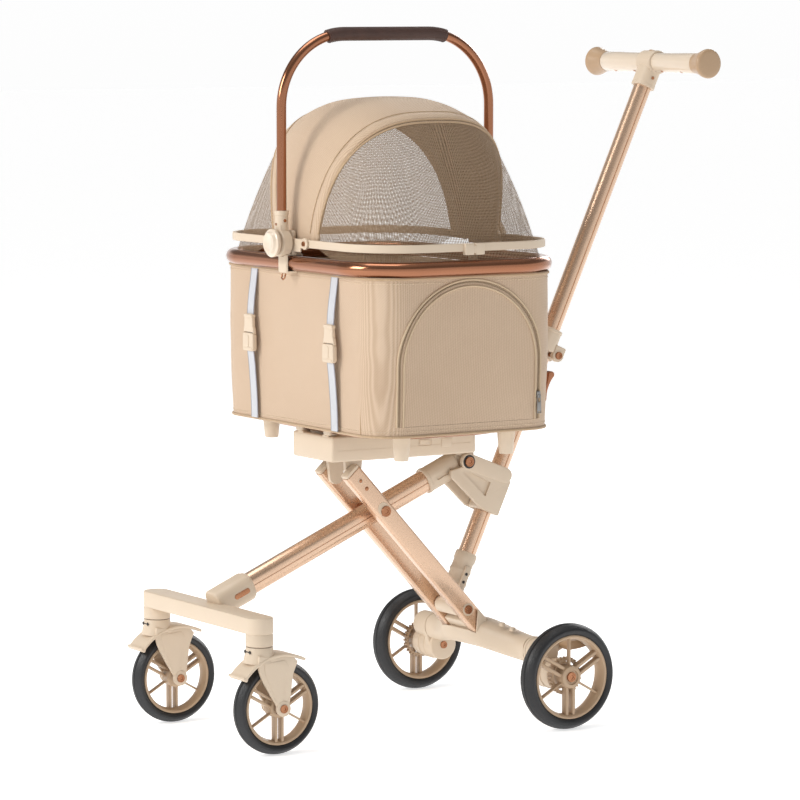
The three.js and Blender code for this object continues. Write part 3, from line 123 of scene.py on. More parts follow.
def rounded(wide: float, tall: float, radius: float, steps: int = 6, at: Point2 = (0, 0)) -> list[Point2]:
    """Outline of a rounded rectangle.

    Args:
        wide: size along the first coordinate.
        tall: size along the second coordinate.
        radius: corner radius.
        steps: spans in each corner.
        at: centre.

    Returns:
        The closed outline's points, counter-clockwise.
    """
    w, h = wide / 2 - radius, tall / 2 - radius
    points: list[Point2] = []
    for sx, sy, start in ((1, 1, 0), (-1, 1, 90), (-1, -1, 180), (1, -1, 270)):
        points += arc(at[0] + sx * w, at[1] + sy * h, radius, start, start + 90, steps)
    return points


def link(a: Point2, radius_a: float, b: Point2, radius_b: float) -> list[Point2]:
    """Outline of a bar with two round ends.

    Args:
        a: first centre.
        radius_a: radius round the first centre.
        b: second centre.
        radius_b: radius round the second centre.

    Returns:
        The closed outline's points.
    """
    along = math.atan2(b[1] - a[1], b[0] - a[0])
    spread = math.acos((radius_a - radius_b) / math.dist(a, b))
    lead, lag = math.degrees(along + spread), math.degrees(along - spread)
    return arc(*a, radius_a, lead, lag + 360, 16) + arc(*b, radius_b, lag, lead, 16)


def eased(points: Sequence[Sequence[float]], steps: int = 6, closed: bool = False) -> list[tuple[float, ...]]:
    """Smooth curve through points.

    Args:
        points: points of two or three coordinates.
        steps: spans between neighbouring points.
        closed: whether the curve returns to its start.

    Returns:
        The points along the curve.
    """
    count = len(points)
    spans = count if closed else count - 1
    pick = (lambda n: points[n % count]) if closed else (lambda n: points[min(max(n, 0), count - 1)])
    made: list[tuple[float, ...]] = []
    for n in range(spans):
        before, here, there, after = pick(n - 1), pick(n), pick(n + 1), pick(n + 2)
        for step in range(steps):
            t = step / steps
            made.append(tuple(
                0.5 * (2 * h + (g - b) * t + (2 * b - 5 * h + 4 * g - a) * t**2
                       + (3 * h - b - 3 * g + a) * t**3)
                for b, h, g, a in zip(before, here, there, after)
            ))
    if not closed:
        made.append(tuple(points[-1]))
    return made


# ---------------------------------------------------------------- finishes


def linear(red: int, green: int, blue: int) -> tuple[float, float, float, float]:
    """Linear colour from display values of 0 to 255."""
    def channel(value: int) -> float:
        """Linear value of one channel."""
        share = value / 255
        return share / 12.92 if share <= 0.04045 else ((share + 0.055) / 1.055) ** 2.4
    return (channel(red), channel(green), channel(blue), 1.0)


class Recipe:
    """A material being mixed from nodes."""

    def __init__(self, name: str) -> None:
        """Starts an empty material.

        Args:
            name: the material's name.
        """
        self.material = bpy.data.materials.new(name)
        self.material.use_nodes = True
        self.tree = self.material.node_tree
        self.shader = self.tree.nodes["Principled BSDF"]
        self.coords = self.tree.nodes.new("ShaderNodeTexCoord")

    def put(self, kind: str, **settings: object) -> bpy.types.Node:
        """Adds a node.

        Args:
            kind: the node's type.
            settings: its properties.

        Returns:
            The node.
        """
        node = self.tree.nodes.new(kind)
        for key, value in settings.items():
            setattr(node, key, value)
        return node

    def feed(self, socket: bpy.types.NodeSocket, value: object) -> None:
        """Links a socket to another, or sets its value."""
        if isinstance(value, bpy.types.NodeSocket):
            self.tree.links.new(value, socket)
        else:
            socket.default_value = value

    def math(self, operation: str, *values: object) -> bpy.types.NodeSocket:
        """Adds a math node.

        Args:
            operation: the node's operation.
            values: its inputs, sockets or numbers.

        Returns:
            The result's socket.
        """
        node = self.put("ShaderNodeMath", operation=operation)
        for socket, value in zip(node.inputs, values):
            self.feed(socket, value)
        return node.outputs[0]

    def blend(self, factor: object, first: object, second: object) -> bpy.types.NodeSocket:
        """Mixes two colours.

        Args:
            factor: share of the second.
            first: colour or socket.
            second: colour or socket.

        Returns:
            The mixed colour's socket.
        """
        node = self.put("ShaderNodeMix", data_type="RGBA")
        self.feed(node.inputs[0], factor)
        self.feed(node.inputs[6], first)
        self.feed(node.inputs[7], second)
        return node.outputs[2]

    def spread(self, value: object, low: float, high: float) -> bpy.types.NodeSocket:
        """Maps 0..1 to a range."""
        node = self.put("ShaderNodeMapRange")
        self.feed(node.inputs[0], value)
        node.inputs[3].default_value = low
        node.inputs[4].default_value = high
        return node.outputs[0]

    def cloud(self, scale: float, detail: float = 3.0,
              stretch: Optional[Point3] = None) -> bpy.types.NodeSocket:
        """Soft noise over the object.

        Args:
            scale: spots per metre.
            detail: how rough the noise is.
            stretch: scale of each axis, for streaks.

        Returns:
            The noise value's socket.
        """
        node = self.put("ShaderNodeTexNoise")
        node.inputs["Scale"].default_value = scale
        node.inputs["Detail"].default_value = detail
        place = self.coords.outputs["Object"]
        if stretch:
            mapping = self.put("ShaderNodeMapping")
            mapping.inputs["Scale"].default_value = stretch
            self.tree.links.new(place, mapping.inputs["Vector"])
            place = mapping.outputs[0]
        self.tree.links.new(place, node.inputs["Vector"])
        return node.outputs[0]

    def relief(self, height: bpy.types.NodeSocket, strength: float, depth: float) -> None:
        """Raises the surface by a height value.

        Args:
            height: the height's socket.
            strength: strength of the bump.
            depth: height in metres of a full step.
        """
        bump = self.put("ShaderNodeBump")
        bump.inputs["Strength"].default_value = strength
        bump.inputs["Distance"].default_value = depth
        self.tree.links.new(height, bump.inputs["Height"])
        self.tree.links.new(bump.outputs[0], self.shader.inputs["Normal"])

    def base(self, colour: object, roughness: object, metal: float = 0.0) -> None:
        """Sets the main inputs of the shader."""
        self.feed(self.shader.inputs["Base Color"], colour)
        self.feed(self.shader.inputs["Roughness"], roughness)
        self.shader.inputs["Metallic"].default_value = metal


@dataclass(frozen=True)
class Moulded:
    """Injection-moulded plastic with a fine grain and faint scuffs."""

    name: str
    colour: tuple[int, int, int]
    shade: tuple[int, int, int]
    roughness: float = 0.42
    coat: float = 0.0
    grain: float = 0.00012

    def mix(self) -> bpy.types.Material:
        """Makes the material."""
        recipe = Recipe(self.name)
        patches = recipe.spread(recipe.cloud(9, 4), 0.0, 0.5)
        scuffs = recipe.cloud(160, 6, (1, 1, 3))
        recipe.base(recipe.blend(patches, linear(*self.colour), linear(*self.shade)),
                    recipe.spread(scuffs, self.roughness - 0.1, self.roughness + 0.14))
        recipe.shader.inputs["Coat Weight"].default_value = self.coat
        recipe.shader.inputs["Coat Roughness"].default_value = 0.12
        recipe.relief(recipe.cloud(1700, 2), 0.35, self.grain)
        return recipe.material


@dataclass(frozen=True)
class Coated:
    """Metal tube with a coloured satin or gloss coating."""

    name: str
    colour: tuple[int, int, int]
    shade: tuple[int, int, int]
    roughness: float = 0.25
    metal: float = 0.9
    streak: Point3 = (1, 1, 1)

    def mix(self) -> bpy.types.Material:
        """Makes the material."""
        recipe = Recipe(self.name)
        tone = recipe.spread(recipe.cloud(7, 3), 0.0, 0.7)
        brushed = recipe.cloud(420, 5, self.streak)
        recipe.base(recipe.blend(tone, linear(*self.colour), linear(*self.shade)),
                    recipe.spread(brushed, self.roughness - 0.03, self.roughness + 0.05), self.metal)
        recipe.shader.inputs["Coat Weight"].default_value = 0.25
        recipe.shader.inputs["Coat Roughness"].default_value = 0.08
        recipe.relief(brushed, 0.05, 0.00003)
        return recipe.material


@dataclass(frozen=True)
class Twill:
    """Ribbed cloth: slanting ribs crossed by finer threads."""

    name: str
    colour: tuple[int, int, int]
    shade: tuple[int, int, int]
    pitch: float = 2.6
    slant: float = 0.0
    depth: float = 0.0004

    def mix(self) -> bpy.types.Material:
        """Makes the material."""
        recipe = Recipe(self.name)
        split = recipe.put("ShaderNodeSeparateXYZ")
        recipe.tree.links.new(recipe.coords.outputs["Object"], split.inputs[0])
        x, y, z = split.outputs
        wave = TAU / (self.pitch * MM)
        round_wall = recipe.math("SUBTRACT", y, x)
        lean = recipe.math("ADD", round_wall, recipe.math("MULTIPLY", z, self.slant))
        ribs = recipe.math("SINE", recipe.math("MULTIPLY", lean, wave))
        weft = recipe.math("SINE", recipe.math("MULTIPLY", recipe.math("ADD", z, recipe.math(
            "MULTIPLY", recipe.math("ADD", x, y), 0.35)), wave * 1.3))
        slub = recipe.math("MULTIPLY", recipe.cloud(800, 4), 1.6)
        height = recipe.math("ADD", recipe.math("ADD", ribs, recipe.math("MULTIPLY", weft, 0.55)), slub)
        thread = recipe.spread(recipe.math("MULTIPLY", height, 0.35), 0.15, 0.85)
        worn = recipe.spread(recipe.cloud(5, 5), 0.0, 0.4)
        tone = recipe.math("ADD", thread, worn)
        recipe.base(recipe.blend(tone, linear(*self.shade), linear(*self.colour)), 0.9)
        recipe.shader.inputs["Sheen Weight"].default_value = 0.25
        recipe.shader.inputs["Sheen Roughness"].default_value = 0.4
        recipe.relief(height, 0.45, self.depth)
        return recipe.material


@dataclass(frozen=True)
class Netting:
    """Knitted mesh with real see-through holes, laid out on the piece's UV map in metres."""

    name: str
    colour: tuple[int, int, int]
    shade: tuple[int, int, int]
    pitch: float = 5.2
    opening: float = 0.18

    def mix(self) -> bpy.types.Material:
        """Makes the material."""
        recipe = Recipe(self.name)
        split = recipe.put("ShaderNodeSeparateXYZ")
        recipe.tree.links.new(recipe.coords.outputs["UV"], split.inputs[0])
        u, v = split.outputs[0], split.outputs[1]
        wave = TAU / (self.pitch * MM)
        across = recipe.math("COSINE", recipe.math("MULTIPLY", u, wave))
        along = recipe.math("COSINE", recipe.math("MULTIPLY", v, wave))
        knots = recipe.math("MULTIPLY", across, along)
        wiggle = recipe.math("MULTIPLY", recipe.cloud(260, 2), 0.3)
        web = recipe.math("ADD", recipe.math("ABSOLUTE", knots), wiggle)
        solid = recipe.put("ShaderNodeMapRange")
        recipe.feed(solid.inputs[0], web)
        solid.inputs[1].default_value = self.opening + 0.42
        solid.inputs[2].default_value = self.opening + 0.26
        recipe.base(recipe.blend(recipe.cloud(420, 3), linear(*self.colour), linear(*self.shade)), 0.85)
        recipe.tree.links.new(solid.outputs[0], recipe.shader.inputs["Alpha"])
        recipe.relief(recipe.math("MULTIPLY", web, -1.0), 0.5, 0.0006)
        return recipe.material


@dataclass(frozen=True)
class Rubber:
    """Dark tyre rubber with a fine pebbled skin."""

    name: str
    colour: tuple[int, int, int]
    shade: tuple[int, int, int]

    def mix(self) -> bpy.types.Material:
        """Makes the material."""
        recipe = Recipe(self.name)
        cells = recipe.put("ShaderNodeTexVoronoi")
        cells.inputs["Scale"].default_value = 340
        recipe.tree.links.new(recipe.coords.outputs["Object"], cells.inputs["Vector"])
        dust = recipe.spread(recipe.cloud(24, 5), 0.0, 0.8)
        recipe.base(recipe.blend(dust, linear(*self.colour), linear(*self.shade)),
                    recipe.spread(recipe.cloud(90, 3), 0.34, 0.56))
        recipe.relief(cells.outputs["Distance"], 0.5, 0.0005)
        return recipe.material


@dataclass(frozen=True)
class Leather:
    """Grained leather with a soft gloss."""

    name: str
    colour: tuple[int, int, int]
    shade: tuple[int, int, int]

    def mix(self) -> bpy.types.Material:
        """Makes the material."""
        recipe = Recipe(self.name)
        cells = recipe.put("ShaderNodeTexVoronoi", feature="DISTANCE_TO_EDGE")
        cells.inputs["Scale"].default_value = 620
        recipe.tree.links.new(recipe.coords.outputs["Object"], cells.inputs["Vector"])
        creases = recipe.math("MINIMUM", cells.outputs["Distance"], 0.18)
        recipe.base(recipe.blend(recipe.cloud(60, 5), linear(*self.colour), linear(*self.shade)),
                    recipe.spread(recipe.cloud(200, 4), 0.42, 0.62))
        recipe.relief(creases, 0.7, 0.0012)
        return recipe.material


@dataclass(frozen=True)
class Webbing:
    """Flat woven strap: chevron ribs across its width."""

    name: str
    colour: tuple[int, int, int]
    shade: tuple[int, int, int]
    pitch: float = 1.9

    def mix(self) -> bpy.types.Material:
        """Makes the material."""
        recipe = Recipe(self.name)
        split = recipe.put("ShaderNodeSeparateXYZ")
        recipe.tree.links.new(recipe.coords.outputs["Object"], split.inputs[0])
        wave = TAU / (self.pitch * MM)
        warp = recipe.math("SINE", recipe.math("MULTIPLY", split.outputs[0], wave * 1.2))
        weft = recipe.math("SINE", recipe.math("MULTIPLY", split.outputs[2], wave))
        height = recipe.math("MULTIPLY", warp, weft)
        recipe.base(recipe.blend(recipe.spread(height, 0.2, 0.9), linear(*self.shade),
                                 linear(*self.colour)), 0.8)
        recipe.shader.inputs["Sheen Weight"].default_value = 0.2
        recipe.relief(height, 0.5, 0.0005)
        return recipe.material


CREAM = Moulded("cream_plastic", (214, 196, 174), (202, 182, 157))
CREAM_GLOSS = Moulded("gloss_cream_plastic", (224, 208, 188), (212, 192, 168), 0.2, 0.6, 0.00004)
RIM_CREAM = Moulded("wheel_rim_plastic", (188, 162, 134), (174, 146, 116), 0.42)
TAN = Moulded("tan_plastic", (184, 154, 122), (168, 136, 104), 0.38, 0.2)
# Painted shadow: a dark colour put in the crossbar's slots and under its caster posts, where shade falls; it
# is not a darker plastic.
PAINTED_SHADOW_GAP = Moulded("shadow_gap_plastic", (112, 92, 74), (96, 78, 62), 0.6)
CHARCOAL = Moulded("charcoal_plastic", (48, 44, 42), (38, 35, 34), 0.5)
COPPER = Coated("rose_copper_coating", (166, 112, 82), (146, 94, 66), 0.17, 0.94)
BOLT = Coated("copper_bolt_metal", (176, 122, 88), (140, 94, 66), 0.26, 0.95)
CHAMPAGNE = Coated("champagne_coating", (222, 190, 163), (208, 172, 144), 0.27, 0.78)
RUBBER = Rubber("tyre_rubber", (24, 25, 28), (36, 36, 38))
GRIP_LEATHER = Leather("dark_brown_leather", (80, 52, 42), (58, 36, 29))
CLOTH = Twill("carrier_twill", (214, 190, 165), (176, 148, 121), 3.2)
BAND_CLOTH = Twill("hood_twill", (212, 188, 162), (176, 148, 120), 3.0)
PIPING = Twill("piping_cloth", (203, 176, 144), (168, 138, 106), 1.6)
LINING = Twill("cushion_cloth", (196, 168, 134), (164, 134, 100), 2.2)
NET = Netting("knitted_mesh", (172, 146, 118), (146, 120, 94))
STRAP = Webbing("strap_webbing", (222, 223, 226), (192, 194, 200))
THREAD = Moulded("sewing_thread", (226, 208, 182), (208, 188, 160), 0.7)
STRAP_EDGE = Moulded("strap_edge_thread", (152, 152, 160), (136, 136, 146), 0.75)
ZIP_DARK = Moulded("zip_teeth", (150, 128, 102), (128, 108, 84), 0.5)
GREY_METAL = Coated("grey_zip_metal", (150, 148, 146), (122, 120, 118), 0.3, 0.9)
ZIP = Moulded("zip_tape", (206, 184, 154), (178, 152, 122), 0.7)

MIXED: dict[str, bpy.types.Material] = {}


def material_of(finish: object) -> bpy.types.Material:
    """The finish's material, made once."""
    if finish.name not in MIXED:
        MIXED[finish.name] = finish.mix()
    return MIXED[finish.name]


# ---------------------------------------------------------------- building shapes

SOFT_ANGLE = math.radians(28)


class Form:
    """A piece under construction, in millimetres."""

    def __init__(self, place: Optional[Matrix] = None) -> None:
        """Starts an empty piece.

        Args:
            place: where the shapes' own axes stand, in millimetres.
        """
        self.mesh = bmesh.new()
        self.place = place or Matrix.Identity(4)
        self.carved: list[tuple[Form, str]] = []

    def take(self, shape: bmesh.types.BMesh, soften: float = 0.0, local: Optional[Matrix] = None) -> "Form":
        """Adds a shape after rounding its hard edges.

        Args:
            shape: the shape, used up by this call.
            soften: radius of the rounding.
            local: where the shape stands in the piece's axes.

        Returns:
            This piece.
        """
        if soften > 0:
            edges = [e for e in shape.edges if len(e.link_faces) == 2 and e.calc_face_angle() > SOFT_ANGLE]
            bmesh.ops.bevel(shape, geom=edges, offset=soften, offset_type="OFFSET", affect="EDGES",
                            segments=3, profile=0.5, material=-1, clamp_overlap=True)
        if local:
            bmesh.ops.transform(shape, matrix=local, verts=shape.verts)
        bmesh.ops.recalc_face_normals(shape, faces=shape.faces)
        scratch = bpy.data.meshes.new("scratch")
        shape.to_mesh(scratch)
        shape.free()
        self.mesh.from_mesh(scratch)
        bpy.data.meshes.remove(scratch)
        return self

    def block(self, low: Point3, high: Point3, soften: float = 1.0, local: Optional[Matrix] = None) -> "Form":
        """Adds a box.

        Args:
            low: lowest corner.
            high: highest corner.
            soften: radius of its edges.
            local: turn or shift of the box.

        Returns:
            This piece.
        """
        shape = bmesh.new()
        size = [b - a for a, b in zip(low, high)]
        middle = [(a + b) / 2 for a, b in zip(low, high)]
        fit = Matrix.Translation(middle) @ Matrix.Diagonal((*size, 1))
        bmesh.ops.create_cube(shape, size=1, matrix=fit)
        return self.take(shape, soften, local)

    def drum(self, radius: float, start: float, stop: float, axis: Axis = Axis.X, at: Point3 = (0, 0, 0),
             soften: float = 1.0, sides: int = 48, far_radius: Optional[float] = None) -> "Form":
        """Adds a round bar or a cone.

        Args:
            radius: radius at the start.
            start: first end along the axis.
            stop: last end along the axis.
            axis: direction of the bar.
            at: point that the axis passes through.
            soften: radius of the rims.
            sides: number of sides.
            far_radius: radius at the last end, if it differs.

        Returns:
            This piece.
        """
        shape = bmesh.new()
        low, high = min(start, stop), max(start, stop)
        far = radius if far_radius is None else far_radius
        radii = (radius, far) if start <= stop else (far, radius)
        bmesh.ops.create_cone(shape, cap_ends=True, cap_tris=False, segments=sides, radius1=radii[0],
                              radius2=radii[1], depth=high - low,
                              matrix=Matrix.Translation((0, 0, (low + high) / 2)))
        return self.take(shape, soften, Matrix.Translation(at) @ axis.value)

    def lathe(self, profile: Sequence[Point2], axis: Axis = Axis.X, at: Point3 = (0, 0, 0),
              steps: int = 72, closed: bool = False) -> "Form":
        """Spins a profile.

        Args:
            profile: pairs of radius and distance along the axis.
            axis: axis of the spin.
            at: point that the axis passes through.
            steps: spans of a full turn.
            closed: whether the profile is a ring of its own.

        Returns:
            This piece.
        """
        shape = bmesh.new()
        verts = [shape.verts.new((radius, 0, height)) for radius, height in profile]
        for here, there in zip(verts, verts[1:]):
            shape.edges.new((here, there))
        if closed:
            shape.edges.new((verts[-1], verts[0]))
        bmesh.ops.spin(shape, geom=verts + list(shape.edges), angle=TAU, steps=steps, axis=(0, 0, 1),
                       cent=(0, 0, 0), use_merge=True)
        bmesh.ops.remove_doubles(shape, verts=shape.verts, dist=0.001)
        return self.take(shape, 0, Matrix.Translation(at) @ axis.value)

    def slab(self, outline: Sequence[Point2], low: float, high: float, soften: float = 1.0,
             local: Optional[Matrix] = None) -> "Form":
        """Raises an outline in x and y from one height to another.

        Args:
            outline: corners of the outline.
            low: lower height.
            high: upper height.
            soften: radius of its edges.
            local: turn or shift of the slab.

        Returns:
            This piece.
        """
        shape = bmesh.new()
        corners: list[Point2] = []
        for point in outline:
            if not corners or math.dist(point, corners[-1]) > 0.05:
                corners.append(point)
        if math.dist(corners[0], corners[-1]) < 0.05:
            corners.pop()
        face = shape.faces.new([shape.verts.new((x, y, low)) for x, y in corners])
        raised = bmesh.ops.extrude_face_region(shape, geom=[face])["geom"]
        tops = [item for item in raised if isinstance(item, bmesh.types.BMVert)]
        bmesh.ops.translate(shape, verts=tops, vec=(0, 0, high - low))
        return self.take(shape, soften, local)

    def plate(self, outline: Sequence[Point2], x0: float, x1: float, soften: float = 1.0) -> "Form":
        """Adds a plate with its outline in y and z, from x0 to x1.

        Args:
            outline: corners of the outline.
            x0: first face.
            x1: last face.
            soften: radius of its edges.

        Returns:
            This piece.
        """
        side = Matrix(((0, 0, 1, 0), (1, 0, 0, 0), (0, 1, 0, 0), (0, 0, 0, 1)))
        return self.slab(outline, min(x0, x1), max(x0, x1), soften, side)

    def pipe(self, points: Sequence[Point3], radius: float, closed: bool = False, sides: int = 5,
             flat: Optional[Point2] = None) -> "Form":
        """Adds a tube that follows points.

        Args:
            points: centre line.
            radius: radius of the tube.
            closed: whether it returns to its start.
            sides: smoothness of the section.
            flat: half sizes of a flat section, in place of the radius.

        Returns:
            This piece.
        """
        curve = bpy.data.curves.new("run", "CURVE")
        curve.dimensions = "3D"
        curve.resolution_u = 1
        curve.twist_mode = "Z_UP" if flat else "MINIMUM"
        curve.use_fill_caps = True
        curve.bevel_depth = radius
        curve.bevel_resolution = sides
        section = None
        if flat:
            section = flat_section(flat)
            curve.bevel_mode = "OBJECT"
            curve.bevel_object = section
        line = curve.splines.new("POLY")
        line.points.add(len(points) - 1)
        for knot, point in zip(line.points, points):
            knot.co = (*point, 1)
        line.use_cyclic_u = closed
        carrier = bpy.data.objects.new("run", curve)
        bpy.context.scene.collection.objects.link(carrier)
        made = bpy.data.meshes.new_from_object(carrier.evaluated_get(bpy.context.evaluated_depsgraph_get()))
        shape = bmesh.new()
        shape.from_mesh(made)
        bmesh.ops.remove_doubles(shape, verts=shape.verts, dist=0.01)
        bpy.data.meshes.remove(made)
        bpy.data.objects.remove(carrier)
        bpy.data.curves.remove(curve)
        if section:
            bpy.data.objects.remove(section)
        return self.take(shape)

    def skin(self, surface: Callable[[float, float], Sequence[float]], across: int, along: int,
             thick: float = 0.0, keep_uv: bool = False) -> "Form":
        """Adds a curved sheet.

        Args:
            surface: gives a point for shares u and v of 0 to 1.
            across: spans along u.
            along: spans along v.
            thick: thickness of the wall, inward.
            keep_uv: whether u and v become the piece's UV map, in metres.

        Returns:
            This piece.
        """
        shape = bmesh.new()
        bmesh.ops.create_grid(shape, x_segments=across, y_segments=along, size=0.5)
        shares = {vert: (vert.co.x + 0.5, vert.co.y + 0.5) for vert in shape.verts}
        for vert, (u, v) in shares.items():
            vert.co = Vector(surface(u, v))
        if keep_uv:
            lay_uv(shape, shares, surface)
        bmesh.ops.remove_doubles(shape, verts=shape.verts, dist=0.01)
        if thick:
            bmesh.ops.recalc_face_normals(shape, faces=shape.faces)
            bmesh.ops.solidify(shape, geom=list(shape.faces), thickness=thick)
        return self.take(shape)

    def carve(self, tool: "Form", keep_common: bool = False) -> "Form":
        """Cuts another form out of this one, or keeps only what they share.

        Args:
            tool: the other form.
            keep_common: keeps the shared part in place of the rest.

        Returns:
            This piece.
        """
        self.carved.append((tool, "INTERSECT" if keep_common else "DIFFERENCE"))
        return self

    def to_mesh(self, name: str, metres: bool) -> bpy.types.Mesh:
        """Closes the form into a mesh, cuts included.

        Args:
            name: the mesh's name.
            metres: whether to leave millimetres for the frame's metres and origin.

        Returns:
            The mesh.
        """
        made = bpy.data.meshes.new(name)
        self.mesh.to_mesh(made)
        for tool, operation in self.carved:
            holder = bpy.data.objects.new("carving", made)
            cutter = bpy.data.objects.new("cutter", tool.to_mesh("cutter", False))
            for item in (holder, cutter):
                bpy.context.scene.collection.objects.link(item)
            step = holder.modifiers.new("carve", "BOOLEAN")
            step.operation, step.object, step.solver = operation, cutter, "EXACT"
            step.use_self = True
            carved = bpy.data.meshes.new_from_object(
                holder.evaluated_get(bpy.context.evaluated_depsgraph_get()))
            bpy.data.objects.remove(holder)
            bpy.data.objects.remove(cutter)
            made = carved
        if metres:
            made.name = name
            made.transform(Matrix.Translation((0, AXLE_Y, 0)) @ Matrix.Scale(MM, 4) @ self.place)
        return made

    def done(self, name: str, body: str, finish: object, slot: str, stands_for: Iterable[str] = (),
             sharp: float = 40.0, polish: int = 0) -> bpy.types.Object:
        """Makes the piece an object that rides on a body.

        Args:
            name: the piece's name.
            body: the body it rides on, or nothing for a piece that rides on no body.
            finish: its finish.
            slot: the record's material slot; not used.
            stands_for: CAD nodes that it replaces.
            sharp: edges over this angle in degrees stay crisp.
            polish: rounds of subdivision.

        Returns:
            The finished piece.
        """
        made = self.to_mesh(name, True)
        made.materials.clear()
        made.materials.append(material_of(finish))
        made.shade_smooth()
        made.set_sharp_from_angle(angle=math.radians(sharp))
        piece = bpy.data.objects.new(name, made)
        bpy.context.scene.collection.objects.link(piece)
        if polish:
            smoother = piece.modifiers.new("polish", "SUBSURF")
            smoother.levels = smoother.render_levels = polish
        if body:
            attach(piece, body)
        nodes = tuple(stands_for)
        if nodes:
            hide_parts(*nodes)
        LOG.info("built %s", name)
        return piece


def flat_section(half: Point2) -> bpy.types.Object:
    """Rounded flat outline that a tube can carry as its section.

    Args:
        half: half width and half thickness.

    Returns:
        The outline as a curve object.
    """
    curve = bpy.data.curves.new("section", "CURVE")
    curve.dimensions = "2D"
    line = curve.splines.new("POLY")
    outline = rounded(half[0] * 2, half[1] * 2, min(half) * 0.8, 2)
    line.points.add(len(outline) - 1)
    for knot, (x, y) in zip(line.points, outline):
        knot.co = (x, y, 0, 1)
    line.use_cyclic_u = True
    section = bpy.data.objects.new("section", curve)
    bpy.context.scene.collection.objects.link(section)
    return section


def lay_uv(shape: bmesh.types.BMesh, shares: dict[bmesh.types.BMVert, Point2],
           surface: Callable[[float, float], Sequence[float]]) -> None:
    """Gives a sheet a UV map that is close to its real lengths in metres.

    Args:
        shape: the sheet.
        shares: the u and v share of each vertex.
        surface: the sheet's surface.
    """
    layer = shape.loops.layers.uv.new("cloth")
    middle = [Vector(surface(n / 24, 0.5)) for n in range(25)]
    across = sum((b - a).length for a, b in zip(middle, middle[1:]))
    hem = [Vector(surface(0.6, n / 48)) for n in range(49)]
    along = sum((b - a).length for a, b in zip(hem, hem[1:]))
    for face in shape.faces:
        for loop in face.loops:
            u, v = shares[loop.vert]
            loop[layer].uv = (u * across * MM, v * along * MM)


def bolt(radius: float, start: float, stop: float, at: Point3, form: Form) -> None:
    """Adds a dished bolt head with a socket to a form.

    Args:
        radius: radius of the head.
        start: where the head meets the part, along x.
        stop: its outer face, along x.
        at: point on the bolt's axis.
        form: the form that takes it.
    """
    way = 1 if stop > start else -1
    lip, dish = radius * 0.94, radius * 0.72
    form.lathe([(0, start), (radius, start), (radius, stop - way * 0.8), (lip, stop), (dish, stop),
                (dish * 0.93, stop - way * 0.7), (radius * 0.42, stop - way * 0.7),
                (radius * 0.36, stop - way * 1.8), (0, stop - way * 1.8)], Axis.X, at, 36)


def lean(y: float, z: float, degrees: float, ahead: float = 0.0) -> Matrix:
    """Axes that stand along a leaning bar of the frame.

    Args:
        y: the bar's pivot from the rear axle.
        z: the pivot's height.
        degrees: turn about x from upright.
        ahead: shift of the bar forward of its pivot.

    Returns:
        The axes as a matrix.
    """
    turn = Matrix.Rotation(math.radians(degrees), 4, "X")
    return Matrix.Translation((0, y, z)) @ turn @ Matrix.Translation((0, -ahead, 0))


# ---------------------------------------------------------------- wheels


